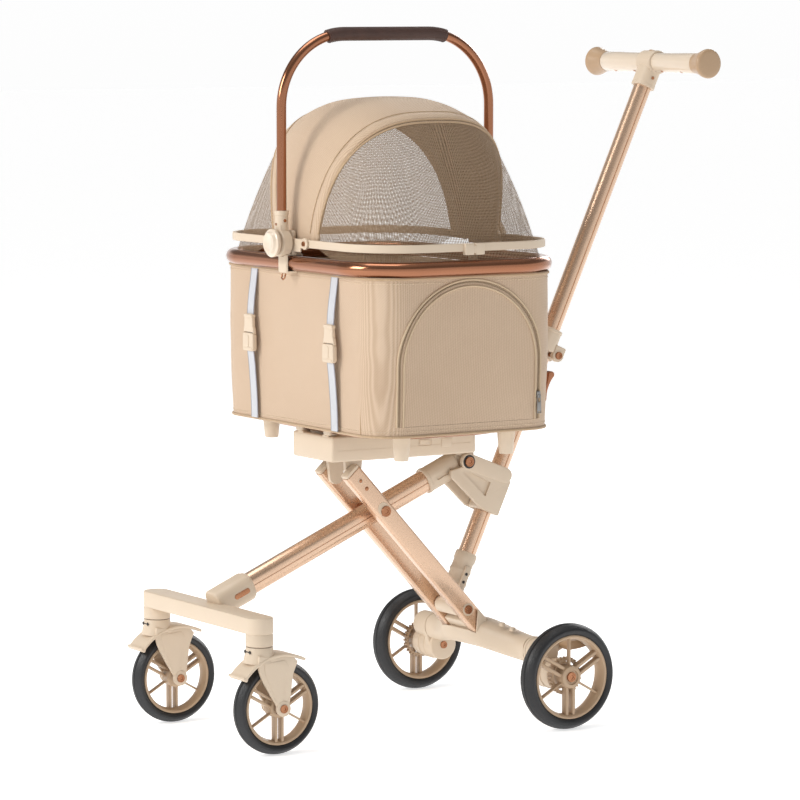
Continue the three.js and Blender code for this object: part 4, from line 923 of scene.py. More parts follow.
@dataclass
class Wheel:
    """Wheel with a rubber tyre, a deep rim, three twin spokes and three ribs."""

    place: str
    side: Side
    at: Point3
    radius: float
    width: float
    rim_radius: float
    bolt_radius: float
    toothed: bool
    spoke_gap: float = 6.5
    spoke_wide: float = 5.6
    rib_wide: float = 3.0

    @property
    def body(self) -> str:
        """Body that the wheel turns with."""
        return f"{self.place}_wheel_{self.side.word}"

    def tyre(self) -> None:
        """Builds the tyre with two shallow tread grooves."""
        inner, outer, half = self.rim_radius + 0.3, self.radius, self.width / 2
        shoulder = (outer - inner) * 0.5
        arch = eased([(inner, half - 4), (inner + 3, half - 1), (outer - shoulder, half),
                      (outer - 3.4, half * 0.62), (outer - 0.6, half * 0.3)], 5)
        groove = [(outer - 1.5, half * 0.22), (outer - 1.5, half * 0.17), (outer - 0.2, half * 0.12),
                  (outer, 0)]
        near = [*arch, *groove]
        profile = near + [(r, -h) for r, h in reversed(near[:-1])]
        Form().lathe(profile, Axis.X, self.at, 120, True).done(
            f"{self.body}_tyre", self.body, RUBBER, "tyre_rubber", [f"{self.place}_tyre_{self.side.word}"])

    def rim(self) -> None:
        """Builds the rim, its spokes, ribs and hub."""
        form = Form()
        outer, half, way = self.rim_radius, self.width / 2 - 3.5, self.side.sign
        hub = self.radius * 0.22
        lips = [(outer, half), (outer - 2, half + 0.8), (outer - 4, half), (outer - 5, half - 2.5),
                (outer - 6.5, half - 5), (outer - 7.5, 0)]
        form.lathe(lips + [(r, -h) for r, h in reversed(lips[:-1])], Axis.X, self.at, 96, True)
        for spoke in range(3):
            for offset, wide, shift in ((-self.spoke_gap, self.spoke_wide, 0),
                                        (self.spoke_gap, self.spoke_wide, 0),
                                        (0, self.rib_wide, 60)):
                turn = Matrix.Rotation(math.radians(120 * spoke - 90 + shift), 4, "X")
                deep = 6.5 if wide > self.rib_wide else 4.5
                form.block((way * 5 - deep, hub * 0.6, offset - wide / 2),
                           (way * 5 + deep, outer - 5, offset + wide / 2), 1.4,
                           Matrix.Translation(self.at) @ turn)
        face = way * (half + 1)
        form.lathe([(0, -face), (hub * 0.8, -face), (hub, -face * 0.8), (hub, face * 0.7),
                    (hub - 1.5, face * 0.92),
                    (hub * 0.74, face), (hub * 0.66, face), (hub * 0.6, face * 0.82), (0, face * 0.82)],
                   Axis.X, self.at, 60)
        if self.toothed:
            teeth = 28
            ring = hub + 9
            form.lathe([(ring - 3, -way * half * 0.75), (ring, -way * half * 0.75), (ring, -way * 2),
                        (ring - 3, -way * 2)], Axis.X, self.at, 84, True)
            for tooth in range(teeth):
                turn = Matrix.Rotation(TAU * tooth / teeth, 4, "X")
                ends = sorted((-way * half * 0.74, -way * 3))
                form.block((ends[0], ring - 0.5, -1.3), (ends[1], ring + 3, 1.3), 0,
                           Matrix.Translation(self.at) @ turn)
        form.done(f"{self.body}_rim", self.body, RIM_CREAM, "cream_plastic",
                  [f"{self.place}_rim_{self.side.word}"])
        if self.toothed:
            head = Form()
            bolt(8.5, face * 0.8, face * 0.98, self.at, head)
            head.done(f"{self.body}_bolt", self.body, BOLT, "copper_bolt")

    def build(self) -> None:
        """Builds the wheel."""
        self.tyre()
        self.rim()


# ---------------------------------------------------------------- front frame


@dataclass
class Caster:
    """Swivelling fork with a fender over its wheel."""

    side: Side
    track: float = 338
    axle_y: float = -516
    axle_z: float = 76
    trail: float = 30
    inner: float = 18
    plate: float = 6
    crown: float = 84
    seam: float = 99.2

    def build(self) -> None:
        """Builds the fork and its axle bolt."""
        x = self.side.sign * self.track / 2
        body = f"caster_{self.side.word}"
        place = Matrix.Translation((x, self.axle_y, self.axle_z))
        outer = self.inner + self.plate
        form = Form(place)
        front = eased([(-44, 88), (-43, 62), (-27, 30), (-11.5, 5)], 8)
        back = eased([(11.2, 3), (15, 28), (18, 52), (27, 74)], 8)
        outline = [*front, *arc(0, 0, 11.8, 185, 352, 14), *back, (14, 87), (-20, 84)]
        for way in (-1, 1):
            form.plate(outline, way * self.inner, way * outer, 1.6)
            form.plate([(y * 0.62 - 7, z * 0.74 + 14) for y, z in outline], way * outer,
                       way * (outer + 0.9), 0.8)
            form.drum(12.5, way * outer, way * (outer + 1.6), soften=0.8)
        rise = self.crown + 4
        shell = arc(0, 0, rise, 62, 143, 24) + arc(0, 0, self.crown - 0.5, 143, 62, 24)
        form.plate(shell, -outer - 1, outer + 1, 1.4)
        lip = Matrix.Rotation(math.radians(143), 4, "X")
        form.block((-outer - 1, self.crown - 2, -3), (outer + 1, rise + 3, 2), 1.6, lip)
        stem_at = (0, -self.trail, 0)
        form.lathe([(0, 74), (26, 74), (24, 84), (22, 90), (22, self.seam - 1.2), (21, self.seam),
                    (0, self.seam)],
                   Axis.Z, stem_at, 56)
        form.done(f"caster_fork_{self.side.word}_shell", body, CREAM, "cream_plastic",
                  [f"caster_fork_{self.side.word}"])
        arrow = Form(place)
        face = self.trail + 22.2
        arrow.block((-7, -face - 0.4, 91.5), (7, -face + 1.5, 93), 0)
        for way in (-1, 1):
            tip = Matrix.Translation((way * 7.5, -face, 92.2)) @ Matrix.Rotation(math.radians(45), 4, "Y")
            arrow.block((-2, -0.4, -2), (2, 1.2, 2), 0, tip)
        arrow.done(f"swivel_arrow_{self.side.word}", body, CHARCOAL, "cream_plastic")
        heads = Form(place)
        for way in (-1, 1):
            bolt(7, way * (outer + 0.4), way * (outer + 3.5), (0, 0, 0), heads)
        heads.drum(4, -outer, outer, soften=0)
        heads.done(f"front_axle_{self.side.word}", body, BOLT, "copper_bolt",
                   [f"front_axle_bolt_{self.side.word}"])


@dataclass
class FrontFrame:
    """Front leg, its top sleeve and the crossbar that carries the casters."""

    hub: Point2 = (-61, 425)
    tilt: float = 23.6
    wide: float = 30
    tall: float = 38
    sleeve_start: float = -79
    bottom: float = -485.3
    swivel_y: float = -546
    bar_z: float = 209
    bar_tall: float = 26
    bar_deep: float = 44
    half_track: float = 169
    post_radius: float = 22

    @property
    def along(self) -> Matrix:
        """Axes with z up the leg, from its hub."""
        return lean(self.hub[0], self.hub[1], self.tilt - 90)

    def leg_outline(self, grow: float, groove: float) -> list[Point2]:
        """Oval outline with a groove down each side.

        Args:
            grow: distance outside the bare tube.
            groove: half width of the groove.

        Returns:
            The outline.
        """
        outline = rounded(self.wide + grow * 2, self.tall + grow * 2, self.wide / 2 + grow - 0.01, 12)
        if not groove:
            return outline
        kept = [p for p in outline if abs(p[1]) > groove]
        deep = self.wide / 2 + grow
        right = [p for p in kept if p[0] > 0]
        left = [p for p in kept if p[0] <= 0]
        notch = [(deep, -groove), (deep - 1.4, -groove * 0.6), (deep - 1.4, groove * 0.6), (deep, groove)]
        upper = sorted([p for p in right if p[1] > 0], key=lambda p: p[1])
        lower = sorted([p for p in right if p[1] <= 0], key=lambda p: p[1])
        left_upper = sorted([p for p in left if p[1] > 0], key=lambda p: -p[1])
        left_lower = sorted([p for p in left if p[1] <= 0], key=lambda p: -p[1])
        return [*lower, *notch, *upper, *left_upper, *[(-x, -y) for x, y in notch], *left_lower]

    def leg(self) -> None:
        """Builds the oval tube."""
        form = Form(self.along).slab(self.leg_outline(0, 1.2), self.bottom, self.sleeve_start + 34, 0)
        form.done("front_leg_tube", "front_frame", CHAMPAGNE, "champagne_tube", ["front_leg"], 30)

    def sleeve(self) -> None:
        """Builds the sleeve at the leg's top with its long recess and the hub eye."""
        form = Form(self.along)
        form.slab(self.leg_outline(2.6, 0), self.sleeve_start, -14, 2.5)
        form.slab(self.leg_outline(3.4, 0), self.sleeve_start, self.sleeve_start + 7, 1.2)
        form.drum(17, -11.6, 11.6, soften=1.5)
        form.block((-11.6, -16.9, -18), (11.6, 16.9, 0), 1)
        pocket = Form()
        for way in (-1, 1):
            pocket.plate(rounded(9, 34, 4.4, 8, (0, -46)), way * 15.2, way * 24, 0)
        form.carve(pocket)
        form.done("front_leg_sleeve", "front_frame", CREAM, "cream_plastic", ["front_leg_top_joint"])

    def crossbar(self) -> None:
        """Builds the crossbar, its caster posts and the leg's socket."""
        low, high = self.bar_z - self.bar_tall / 2, self.bar_z + self.bar_tall / 2
        ends = self.half_track + self.post_radius
        form = Form()
        plan = [(x, y + self.swivel_y)
                for x, y in rounded(ends * 2, self.bar_deep, self.bar_deep / 2 - 0.05, 14)]
        form.slab(plan, low, high, 6)
        for way in (-1, 1):
            at = (way * self.half_track, self.swivel_y, 0)
            form.lathe([(0, low - 20), (20.6, low - 20), (22, low - 18.6), (22, low - 1.6), (21, low),
                        (21, low + 6), (0, low + 6)], Axis.Z, at, 56)
        socket = self.along @ Matrix.Translation((0, 0, self.bottom))
        form.slab(rounded(45, 45, 15, 8), -30, 38, 4, socket)
        form.slab(rounded(40, 42, 16, 8), 30, 41, 2, socket)
        form.done("front_crossbar_shell", "front_frame", CREAM, "cream_plastic", ["front_crossbar"])
        trim = Form(self.along @ Matrix.Translation((0, 0, self.bottom)))
        for way in (-1, 1):
            trim.plate(rounded(9, 30, 4.4, 8, (0, 14)), way * 21.5, way * 23.2, 0.5)
        trim.done("leg_socket_badge", "front_frame", BOLT, "copper_bolt")
        # Painted shadow: thin dark blocks in the crossbar's slots and a dark disc under each caster post.
        slot_shadows = Form()
        for way in (-1, 1):
            for shift in (-14, 14):
                slot_shadows.block((way * 110 + shift - 7, self.swivel_y - 6, low - 0.5),
                            (way * 110 + shift + 7, self.swivel_y + 6, low + 1), 0.4)
            slot_shadows.drum(21.2, low - 20.8, low - 19.8, Axis.Z, (way * self.half_track, self.swivel_y, 0), 0)
        slot_shadows.done("crossbar_painted_slot_shadows", "front_frame", PAINTED_SHADOW_GAP, "cream_plastic")

    def build(self) -> None:
        """Builds the front frame."""
        self.leg()
        self.sleeve()
        self.crossbar()


# ---------------------------------------------------------------- rear frame


@dataclass
class RearFrame:
    """Rear legs, the moulded axle beam, its wheel brackets and the brake pedals."""

    pivot: Point2 = (-78, 180.7)
    top: Point2 = (-287.5, 409.5)
    cross: Point2 = (-239, 356.5)
    leg_inner: float = 32
    leg_thick: float = 20
    leg_deep: float = 32
    foot: float = 40
    crown: float = 18
    beam_end: float = 150
    axle_z: float = 87.5

    @property
    def length(self) -> float:
        """Distance between the legs' end pivots."""
        return math.dist(self.pivot, self.top)

    @property
    def along(self) -> Matrix:
        """Axes with z up the legs, from the lower bolt."""
        turn = math.degrees(math.atan2(self.top[0] - self.pivot[0], self.top[1] - self.pivot[1]))
        return lean(self.pivot[0], self.pivot[1], -turn)

    def legs(self) -> None:
        """Builds both legs with their open feet, top plugs and rivets."""
        middle = self.leg_inner + self.leg_thick / 2
        for side in Side:
            x = side.sign * middle
            form = Form(self.along).slab(
                [(px + x, py) for px, py in rounded(self.leg_thick, self.leg_deep, 4.5, 6)],
                -self.foot, self.length + self.crown, 0.5)
            hollow = Form().slab([(px + x, py)
                                  for px, py in rounded(self.leg_thick - 4, self.leg_deep - 4, 3, 4)],
                                 -self.foot - 5, -self.foot + 14, 0)
            form.carve(hollow)
            form.done(f"rear_leg_{side.word}_tube", "rear_frame", CHAMPAGNE, "champagne_tube",
                      [f"rear_leg_{side.word}"])
            plug = Form(self.along)
            plug.slab([(px + x, py) for px, py in rounded(self.leg_thick - 1.5, self.leg_deep - 1.5, 4, 6)],
                      self.length + self.crown, self.length + self.crown + 6, 1.5)
            for height in (0, self.length * 0.79):
                plug.drum(10.5, side.sign * (middle + 9.5), side.sign * (middle + 10.8),
                          at=(0, 0, height), soften=0.5)
            plug.done(f"leg_plug_{side.word}", "rear_frame", CREAM, "cream_plastic")
            rivets = Form(self.along)
            for height in (self.length, self.length - 18):
                rivets.lathe([(0, 0), (3.6, 0), (3.3, side.sign * 1.0), (2, side.sign * 1.7),
                              (0, side.sign * 1.9)],
                             Axis.X, (side.sign * (middle + 10), 0, height), 24)
            rivets.done(f"leg_rivets_{side.word}", "rear_frame", BOLT, "copper_bolt")

    def bolts(self) -> None:
        """Builds the crossing bolt and the lower leg bolt."""
        outer = self.leg_inner + self.leg_thick
        for name, point, radius in (("cross_pivot_bolt", self.cross, 9), ("lower_leg_bolt", self.pivot, 7.5)):
            form = Form(Matrix.Translation((0, *point)))
            form.drum(5, -outer, outer, soften=0)
            for way in (-1, 1):
                bolt(radius, way * (outer + 0.3), way * (outer + 3.3), (0, 0, 0), form)
            form.done(f"{name}_heads", "rear_frame", BOLT, "copper_bolt", [name])

    def beam(self) -> None:
        """Builds the moulded beam between the wheel brackets."""
        def surface(u: float, v: float) -> Point3:
            """Point on the beam: v along it, u round it."""
            x = (v * 2 - 1) * self.beam_end
            share = min(max((abs(v * 2 - 1) - 0.22) / 0.7, 0), 1)
            near = 1 - share * share * (3 - 2 * share)
            half_y, half_z = 21.6 + 6.2 * near, 21.6 + 3.2 * near
            turn = TAU * u
            c, s = math.cos(turn), math.sin(turn)
            soft = 0.82
            return (x, -12 - 26 * near + half_y * math.copysign(abs(c) ** soft, c),
                    121 + 17 * near + half_z * math.copysign(abs(s) ** soft, s))
        form = Form().skin(surface, 56, 64)
        bmesh.ops.holes_fill(form.mesh, edges=[e for e in form.mesh.edges if e.is_boundary])
        seat = Form()
        outer = self.leg_inner + self.leg_thick + 0.6
        seat.block((-outer, -16.6, -self.foot - 0.6), (outer, 16.6, 120), 0, self.along)
        form.carve(seat)
        form.done("rear_axle_beam_shell", "rear_frame", CREAM, "cream_plastic", ["rear_axle_beam"], 35)
        web = Form(self.along)
        web.block((-self.leg_inner + 0.3, -12, -self.foot - 5), (self.leg_inner - 0.3, 12, -22), 2)
        for way in (-1, 1):
            web.plate([(-15, -38), (13, -38), (13, -12), (4, -20)], way * 53, way * 56.5, 1)
        web.done("beam_web", "rear_frame", CREAM, "cream_plastic")
        bumps = Form()
        for x, y, z in ((92, -36, 159), (112, -29, 153), (-92, -36, 159), (-112, -29, 153)):
            bumps.lathe([(5.4, -4), (5.2, 0), (4, 1.6), (0, 2)], Axis.Z, (x, y, z), 28)
        bumps.done("beam_bumps", "rear_frame", CREAM, "cream_plastic")

    def brackets(self) -> None:
        """Builds the drums and webs that hold the rear wheels."""
        for side in Side:
            way = side.sign
            form = Form()
            form.plate(link((-12, 121), 21, (0, self.axle_z), 25), way * 151, way * 163, 2.5)
            form.plate(link((-12, 121), 14, (24, 132), 7), way * 176, way * 181, 1)
            form.drum(26, way * 146, way * 209, at=(0, 0, self.axle_z), soften=3, far_radius=25)
            form.drum(21.9, way * 150.6, way * 192, at=(0, -12, 121), soften=3)
            form.drum(23, way * 152, way * 158, at=(0, -12, 121), soften=1.2)
            for ring in (170, 186):
                form.drum(26.6, way * ring, way * (ring + 3), at=(0, 0, self.axle_z), soften=0.8)
            form.drum(5, way * 200, way * 240, at=(0, 0, self.axle_z), soften=0.5)
            form.drum(3.5, way * 180, way * 207, at=(0, 24, 132), soften=0.5)
            form.done(f"wheel_bracket_{side.word}", "rear_frame", CREAM, "cream_plastic",
                      [f"rear_wheel_bracket_{side.word}"])
            screw = Form()
            bolt(6.5, way * 147, way * 143.6, (0, 0, self.axle_z), screw)
            screw.done(f"bracket_screw_{side.word}", "rear_frame", BOLT, "copper_bolt")
            pedal = Form(Matrix.Translation((0, 24, 132)))
            top = eased([(0, 8), (20, 9.6), (40, 10.4), (57, 11)], 6)
            low = eased([(58, 3.6), (40, 0), (18, -4.6), (-5, -6.4)], 6)
            pedal.plate([*top, *low, *arc(0, 0, 8, 230, 95, 10)], way * 182.4, way * 207.6, 2.2)
            for rib in range(4):
                y = 26 + rib * 8
                pedal.block((way * 195 - 10, y, 9.2), (way * 195 + 10, y + 3.4, 11.2), 0.8)
            pedal.done(f"brake_pedal_{side.word}_pad", f"brake_{side.word}", TAN, "tan_plastic",
                       [f"brake_pedal_{side.word}"])

    def build(self) -> None:
        """Builds the rear frame."""
        self.legs()
        self.bolts()
        self.beam()
        self.brackets()


# ---------------------------------------------------------------- platform and slider


@dataclass
class Platform:
    """Box under the carrier, its support hoop and the hooks that hold the hub bolt."""

    half: float = 63
    front: float = -348
    rear: float = -70
    bottom: float = 444
    top: float = 486
    hub: Point2 = (-61, 425)
    lug_pivot: Point2 = (-287.5, 409.5)
    carrier_y: float = -205

    def box(self) -> None:
        """Builds the box with its open underside, lugs and hooks."""
        form = Form().block((-self.half, self.front, self.bottom), (self.half, self.rear, self.top), 4)
        form.carve(Form().block((-self.half + 4, self.front + 4, self.bottom - 8),
                                (self.half - 4, self.rear - 4, self.top - 4), 0))
        groove = Form()
        for way in (-1, 1):
            groove.block((way * 63.6 - 1.2, self.front + 12, 462),
                         (way * 63.6 + 1.2, self.rear - 12, 463.4), 0)
            groove.plate(rounded(26, 13, 3, 3, (-170, 468)), way * 61.8, way * 66, 0)
        form.carve(groove)
        form.done("platform_box", "platform", CREAM, "cream_plastic", ["platform_base"])
        fittings = Form()
        for way in (-1, 1):
            fittings.plate(link((self.lug_pivot[0], 474), 20, self.lug_pivot, 13), way * 23.2,
                           way * 31.2, 1.2)
            fittings.drum(4.5, way * 29, way * 53, at=(0, *self.lug_pivot), soften=0.5)
            y, z = self.hub
            fittings.plate([(y - 34, 480), (y - 34, 443), (y - 6, z + 8), (y + 6, z + 8), (y + 8, z - 6),
                            (y + 16, z - 4), (y + 16, 450), (self.rear - 4, 454), (self.rear - 4, 480)],
                           way * 12.6, way * 17.6, 0.8)
            fittings.block((way * 62.2 - 1, -180, 464), (way * 62.2 + 1.4, -162, 472), 0.6)
            fittings.block((way * 62.6 - 1, -138, 458), (way * 62.6 + 1.6, -118, 472), 0.8)
            fittings.block((way * 40 - 9, self.front + 0.5, 480), (way * 40 + 9, self.front + 16, 488), 1.5)
        fittings.done("platform_fittings", "platform", CREAM, "cream_plastic")

    def hoop(self) -> None:
        """Builds the copper hoop that the carrier stands on."""
        path = [(x, y + self.carrier_y, 497) for x, y in rounded(380, 268, 92, 16)]
        Form().pipe(path, 7, True, 8).done("support_hoop_tube", "platform", COPPER, "copper_tube",
                                           ["support_hoop"])
        clips = Form()
        for way in (-1, 1):
            for y in (-134, 134):
                clips.block((way * 44 - 10, y + self.carrier_y - 9, 487),
                            (way * 44 + 10, y + self.carrier_y + 9, 501), 2.5)
        clips.done("hoop_clips", "platform", CREAM, "cream_plastic")

    def build(self) -> None:
        """Builds the platform."""
        self.box()
        self.hoop()


@dataclass
class PushPost:
    """Leaning post: foot, slider, folding hinge, upper tube and T bar."""

    pivot: Point2 = (-78, 180.7)
    angle: float = 65.4
    ahead: float = 8
    radius: float = 15
    hinge_at: float = 459
    bar_at: float = 990
    bar_half: float = 131
    hub: Point2 = (-61, 425)

    @property
    def along(self) -> Matrix:
        """Axes with z up the post's tube."""
        return lean(self.pivot[0], self.pivot[1], self.angle - 90, self.ahead)

    def tube(self, low: float, high: float) -> Form:
        """Round tube with a groove down each side.

        Args:
            low: lower end along the post.
            high: upper end along the post.

        Returns:
            The tube.
        """
        outline: list[Point2] = []
        for start, stop in ((6, 174), (186, 354)):
            outline += arc(0, 0, self.radius, start, stop, 26)
            outline += arc(0, 0, self.radius - 1.5, stop + 2, stop + 10, 2)
        return Form(self.along).slab(outline, low, high, 0)

    def lower(self) -> None:
        """Builds the lower tube and the foot that turns on the leg bolt."""
        self.tube(30, self.hinge_at - 12).done("lower_post_grooved", "post", CHAMPAGNE, "champagne_tube",
                                               ["lower_post_tube"], 30)
        foot = Form(self.along)
        foot.lathe([(0, 8), (15, 8), (17.5, 12), (17.5, 36), (18.4, 38), (18.4, 42), (17.3, 44), (17.3, 56),
                    (18.4, 58), (18.4, 62), (17.3, 64), (17.3, 76), (18.6, 79), (18.6, 89), (17.4, 92),
                    (15.3, 92)],
                   Axis.Z, (0, 0, 0), 56)
        foot.drum(14, -31, 31, at=(0, self.ahead, 0), soften=1.5)
        foot.block((-23, self.ahead - 13.8, 0), (23, self.ahead + 13.8, 22), 3)
        for way in (-1, 1):
            foot.block((way * 19 - 3, -5, 16), (way * 19 + 3, 6, 70), 1.5)
        foot.done("post_foot_shell", "post", CREAM, "cream_plastic", ["post_foot"])
        dots = Form(self.along)
        for height in (28, 42, 56):
            for way in (-1, 1):
                dots.drum(2.7, way * 21.6, way * 22.6, at=(0, 0, height), soften=0.3, sides=24)
        dots.done("post_foot_dots", "post", CHARCOAL, "cream_plastic")

    def slider(self) -> None:
        """Builds the saddle with its braced lugs and the hub bolt."""
        lean_by = math.radians(self.angle)
        dy, dz = self.hub[0] - self.pivot[0], self.hub[1] - self.pivot[1]
        up = dy * math.cos(lean_by) + dz * math.sin(lean_by)
        ahead = dz * math.cos(lean_by) - dy * math.sin(lean_by) - self.ahead
        low, high = up - 62.4, up + 15.6
        form = Form(self.along)
        form.block((-20.3, -20.3, low), (20.3, 15, high), 4)
        form.carve(Form().block((-15.4, -15.4, low - 5), (15.4, 30, high + 5), 0))
        form.done("post_slider_saddle", "slider", CREAM, "cream_plastic", ["post_slider"])
        lugs = Form(self.along)
        brace = [(-ahead - 2, up - 8), (-ahead - 26, up - 26), (-ahead - 23, up - 35), (-22, low),
                 (15, low), (15, up),
                 (-ahead, up)]
        window = [(-ahead - 3, up - 21), (-23, low + 21), (-23, up - 16), (-ahead + 13, up - 15)]
        for way in (-1, 1):
            lugs.plate(brace, way * 19.5, way * 27.5, 2)
            lugs.plate(link((-ahead, up), 14, (0, up + 5), 13), way * 19.6, way * 28.4, 2)
        hole = Form()
        for way in (-1, 1):
            hole.plate(window, way * 23.5, way * 34, 0)
        lugs.carve(hole)
        lugs.done("post_slider_lugs", "slider", CREAM, "cream_plastic")
        head = Form(Matrix.Translation((0, *self.hub)))
        head.drum(5, -29, 29, soften=0)
        for way in (-1, 1):
            bolt(8.5, way * 28.8, way * 31.8, (0, 0, 0), head)
        head.done("hub_bolt_heads", "slider", BOLT, "copper_bolt", ["hub_bolt"])
        ring = Form(Matrix.Translation((0, *self.hub)))
        for way in (-1, 1):
            ring.lathe([(8.8, way * 28.2), (11.4, way * 28.2), (11.4, way * 29.2), (8.8, way * 29.2)], Axis.X,
                       (0, 0, 0), 40, True)
        ring.done("hub_washer", "slider", CHARCOAL, "cream_plastic")

    def hinge(self) -> None:
        """Builds both halves of the folding hinge, its bolt and release lever."""
        z = self.hinge_at
        lower = Form(self.along).slab(rounded(36, 36, 14, 10), z - 42, z - 0.3, 2)
        lower.slab(rounded(38, 38, 15, 10), z - 42, z - 36, 1.2)
        lower.block((-8, 10, z - 24), (8, 31, z), 2)
        lower.drum(11, -8, 8, at=(0, 21, z), soften=1)
        lower.carve(Form().block((-40, -40, z - 0.2), (40, 9.2, z + 40), 0))
        sides = Form()
        for way in (-1, 1):
            sides.drum(11.8, way * 8, way * 22, at=(0, 21, z), soften=0)
        lower.carve(sides)
        lower.done("hinge_lower_half", "post", CREAM, "cream_plastic", ["hinge_lower"])
        upper = Form(self.along).slab(rounded(36, 36, 14, 10), z + 0.8, z + 38.8, 2)
        upper.slab(rounded(38, 38, 15, 10), z + 33, z + 38.8, 1.2)
        for way in (-1, 1):
            upper.drum(11, way * 8.8, way * 18, at=(0, 21, z), soften=1.2)
            upper.block((way * 13.4 - 4.6, 10, z + 0.8), (way * 13.4 + 4.6, 32, z + 16), 2)
        upper.carve(Form().drum(11.8, -8.8, 8.8, at=(0, 21, z), soften=0))
        upper.done("hinge_upper_half", "handle", CREAM, "cream_plastic", ["hinge_upper"])
        pin = Form(self.along)
        pin.drum(4, -18, 18, at=(0, 21, z), soften=0)
        for way in (-1, 1):
            bolt(6.5, way * 18.3, way * 21, (0, 21, z), pin)
        pin.done("hinge_bolt_heads", "handle", BOLT, "copper_bolt", ["hinge_bolt"])
        lever = Form(self.along @ Matrix.Translation((0, 27, z - 33)))
        back = eased([(6, 0), (3.4, -12), (3.8, -28), (9, -44)], 8)
        front = eased([(3, -46), (-1.6, -28), (-3.2, -12), (-6, 0)], 8)
        lever.plate([*back, *front, *arc(0, 0, 6, 180, 0, 10)], -10, 10, 1.4)
        lever.done("hinge_lever_blade", "lever", COPPER, "copper_tube", ["hinge_lever"])

    def handle(self) -> None:
        """Builds the upper tube, the tee, the T bar with its caps and the fold button."""
        z = self.bar_at
        self.tube(self.hinge_at + 12.8, z - 25).done("upper_post_grooved", "handle", CHAMPAGNE,
                                                     "champagne_tube",
                                                     ["upper_post_tube"], 30)
        tee = Form(self.along).slab(rounded(39, 35.5, 15, 10), z - 46, z - 10, 2)
        tee.slab(rounded(40, 36, 15, 10), z - 46, z - 40, 1.2)
        tee.drum(20.4, -20, 20, at=(0, 0, z), soften=2.5)
        tee.carve(Form().drum(12.8, z + 2, z + 40, Axis.Z, (0, 0, 0), 0))
        tee.done("tee_joint_shell", "handle", CREAM, "cream_plastic", ["tee_joint"])
        place = self.along @ Matrix.Translation((0, 0, z))
        grip = Form(place)
        barrel = [(0, -self.bar_half), (16.6, -self.bar_half), (17, -self.bar_half + 1), (17, -96),
                  (16.4, -60),
                  (16.4, 60), (17, 96), (17, self.bar_half - 1), (16.6, self.bar_half), (0, self.bar_half)]
        grip.lathe(barrel, Axis.X, (0, 0, 0), 64)
        grip.carve(Form().drum(12.8, 4, 40, Axis.Z, (0, 0, 0), 0))
        grip.done("t_bar_sleeve", "handle", CREAM_GLOSS, "gloss_cream_plastic", ["t_bar_grip"])
        for side in Side:
            way, h = side.sign, self.bar_half
            cap = Form(place)
            swell = eased([(17.2, h + 0.3), (18.2, h + 8), (21.6, h + 20), (24.6, h + 30), (23.4, h + 35),
                           (18, h + 36.8), (9, h + 37.4)], 5)
            cap.lathe([(0, way * (h + 0.3)), *[(r, way * x) for r, x in swell], (0, way * (h + 37.5))],
                      Axis.X,
                      (0, 0, 0), 64)
            cap.done(f"t_bar_end_{side.word}", "handle", TAN, "tan_plastic", [f"t_bar_cap_{side.word}"])
        screws = Form(place)
        for x in (-96, -40, 40, 96):
            screws.drum(2.6, -17.4, -16, Axis.Z, (x, 0, 0), 0.3, 20)
        screws.drum(2.8, 20, 21, at=(0, 0, -29), soften=0.3, sides=20)
        screws.done("t_bar_screws", "handle", BOLT, "copper_bolt")
        button = Form(place)
        button.lathe([(0, 11.5), (11.8, 11.5), (11.8, 17.6), (11, 19), (8, 19.8), (0, 20)], Axis.Z,
                     (0, 0, 0), 48)
        button.done("fold_button_cap", "button", TAN, "tan_plastic", ["fold_button"])

    def build(self) -> None:
        """Builds the post."""
        self.lower()
        self.slider()
        self.hinge()
        self.handle()


# ---------------------------------------------------------------- carrier


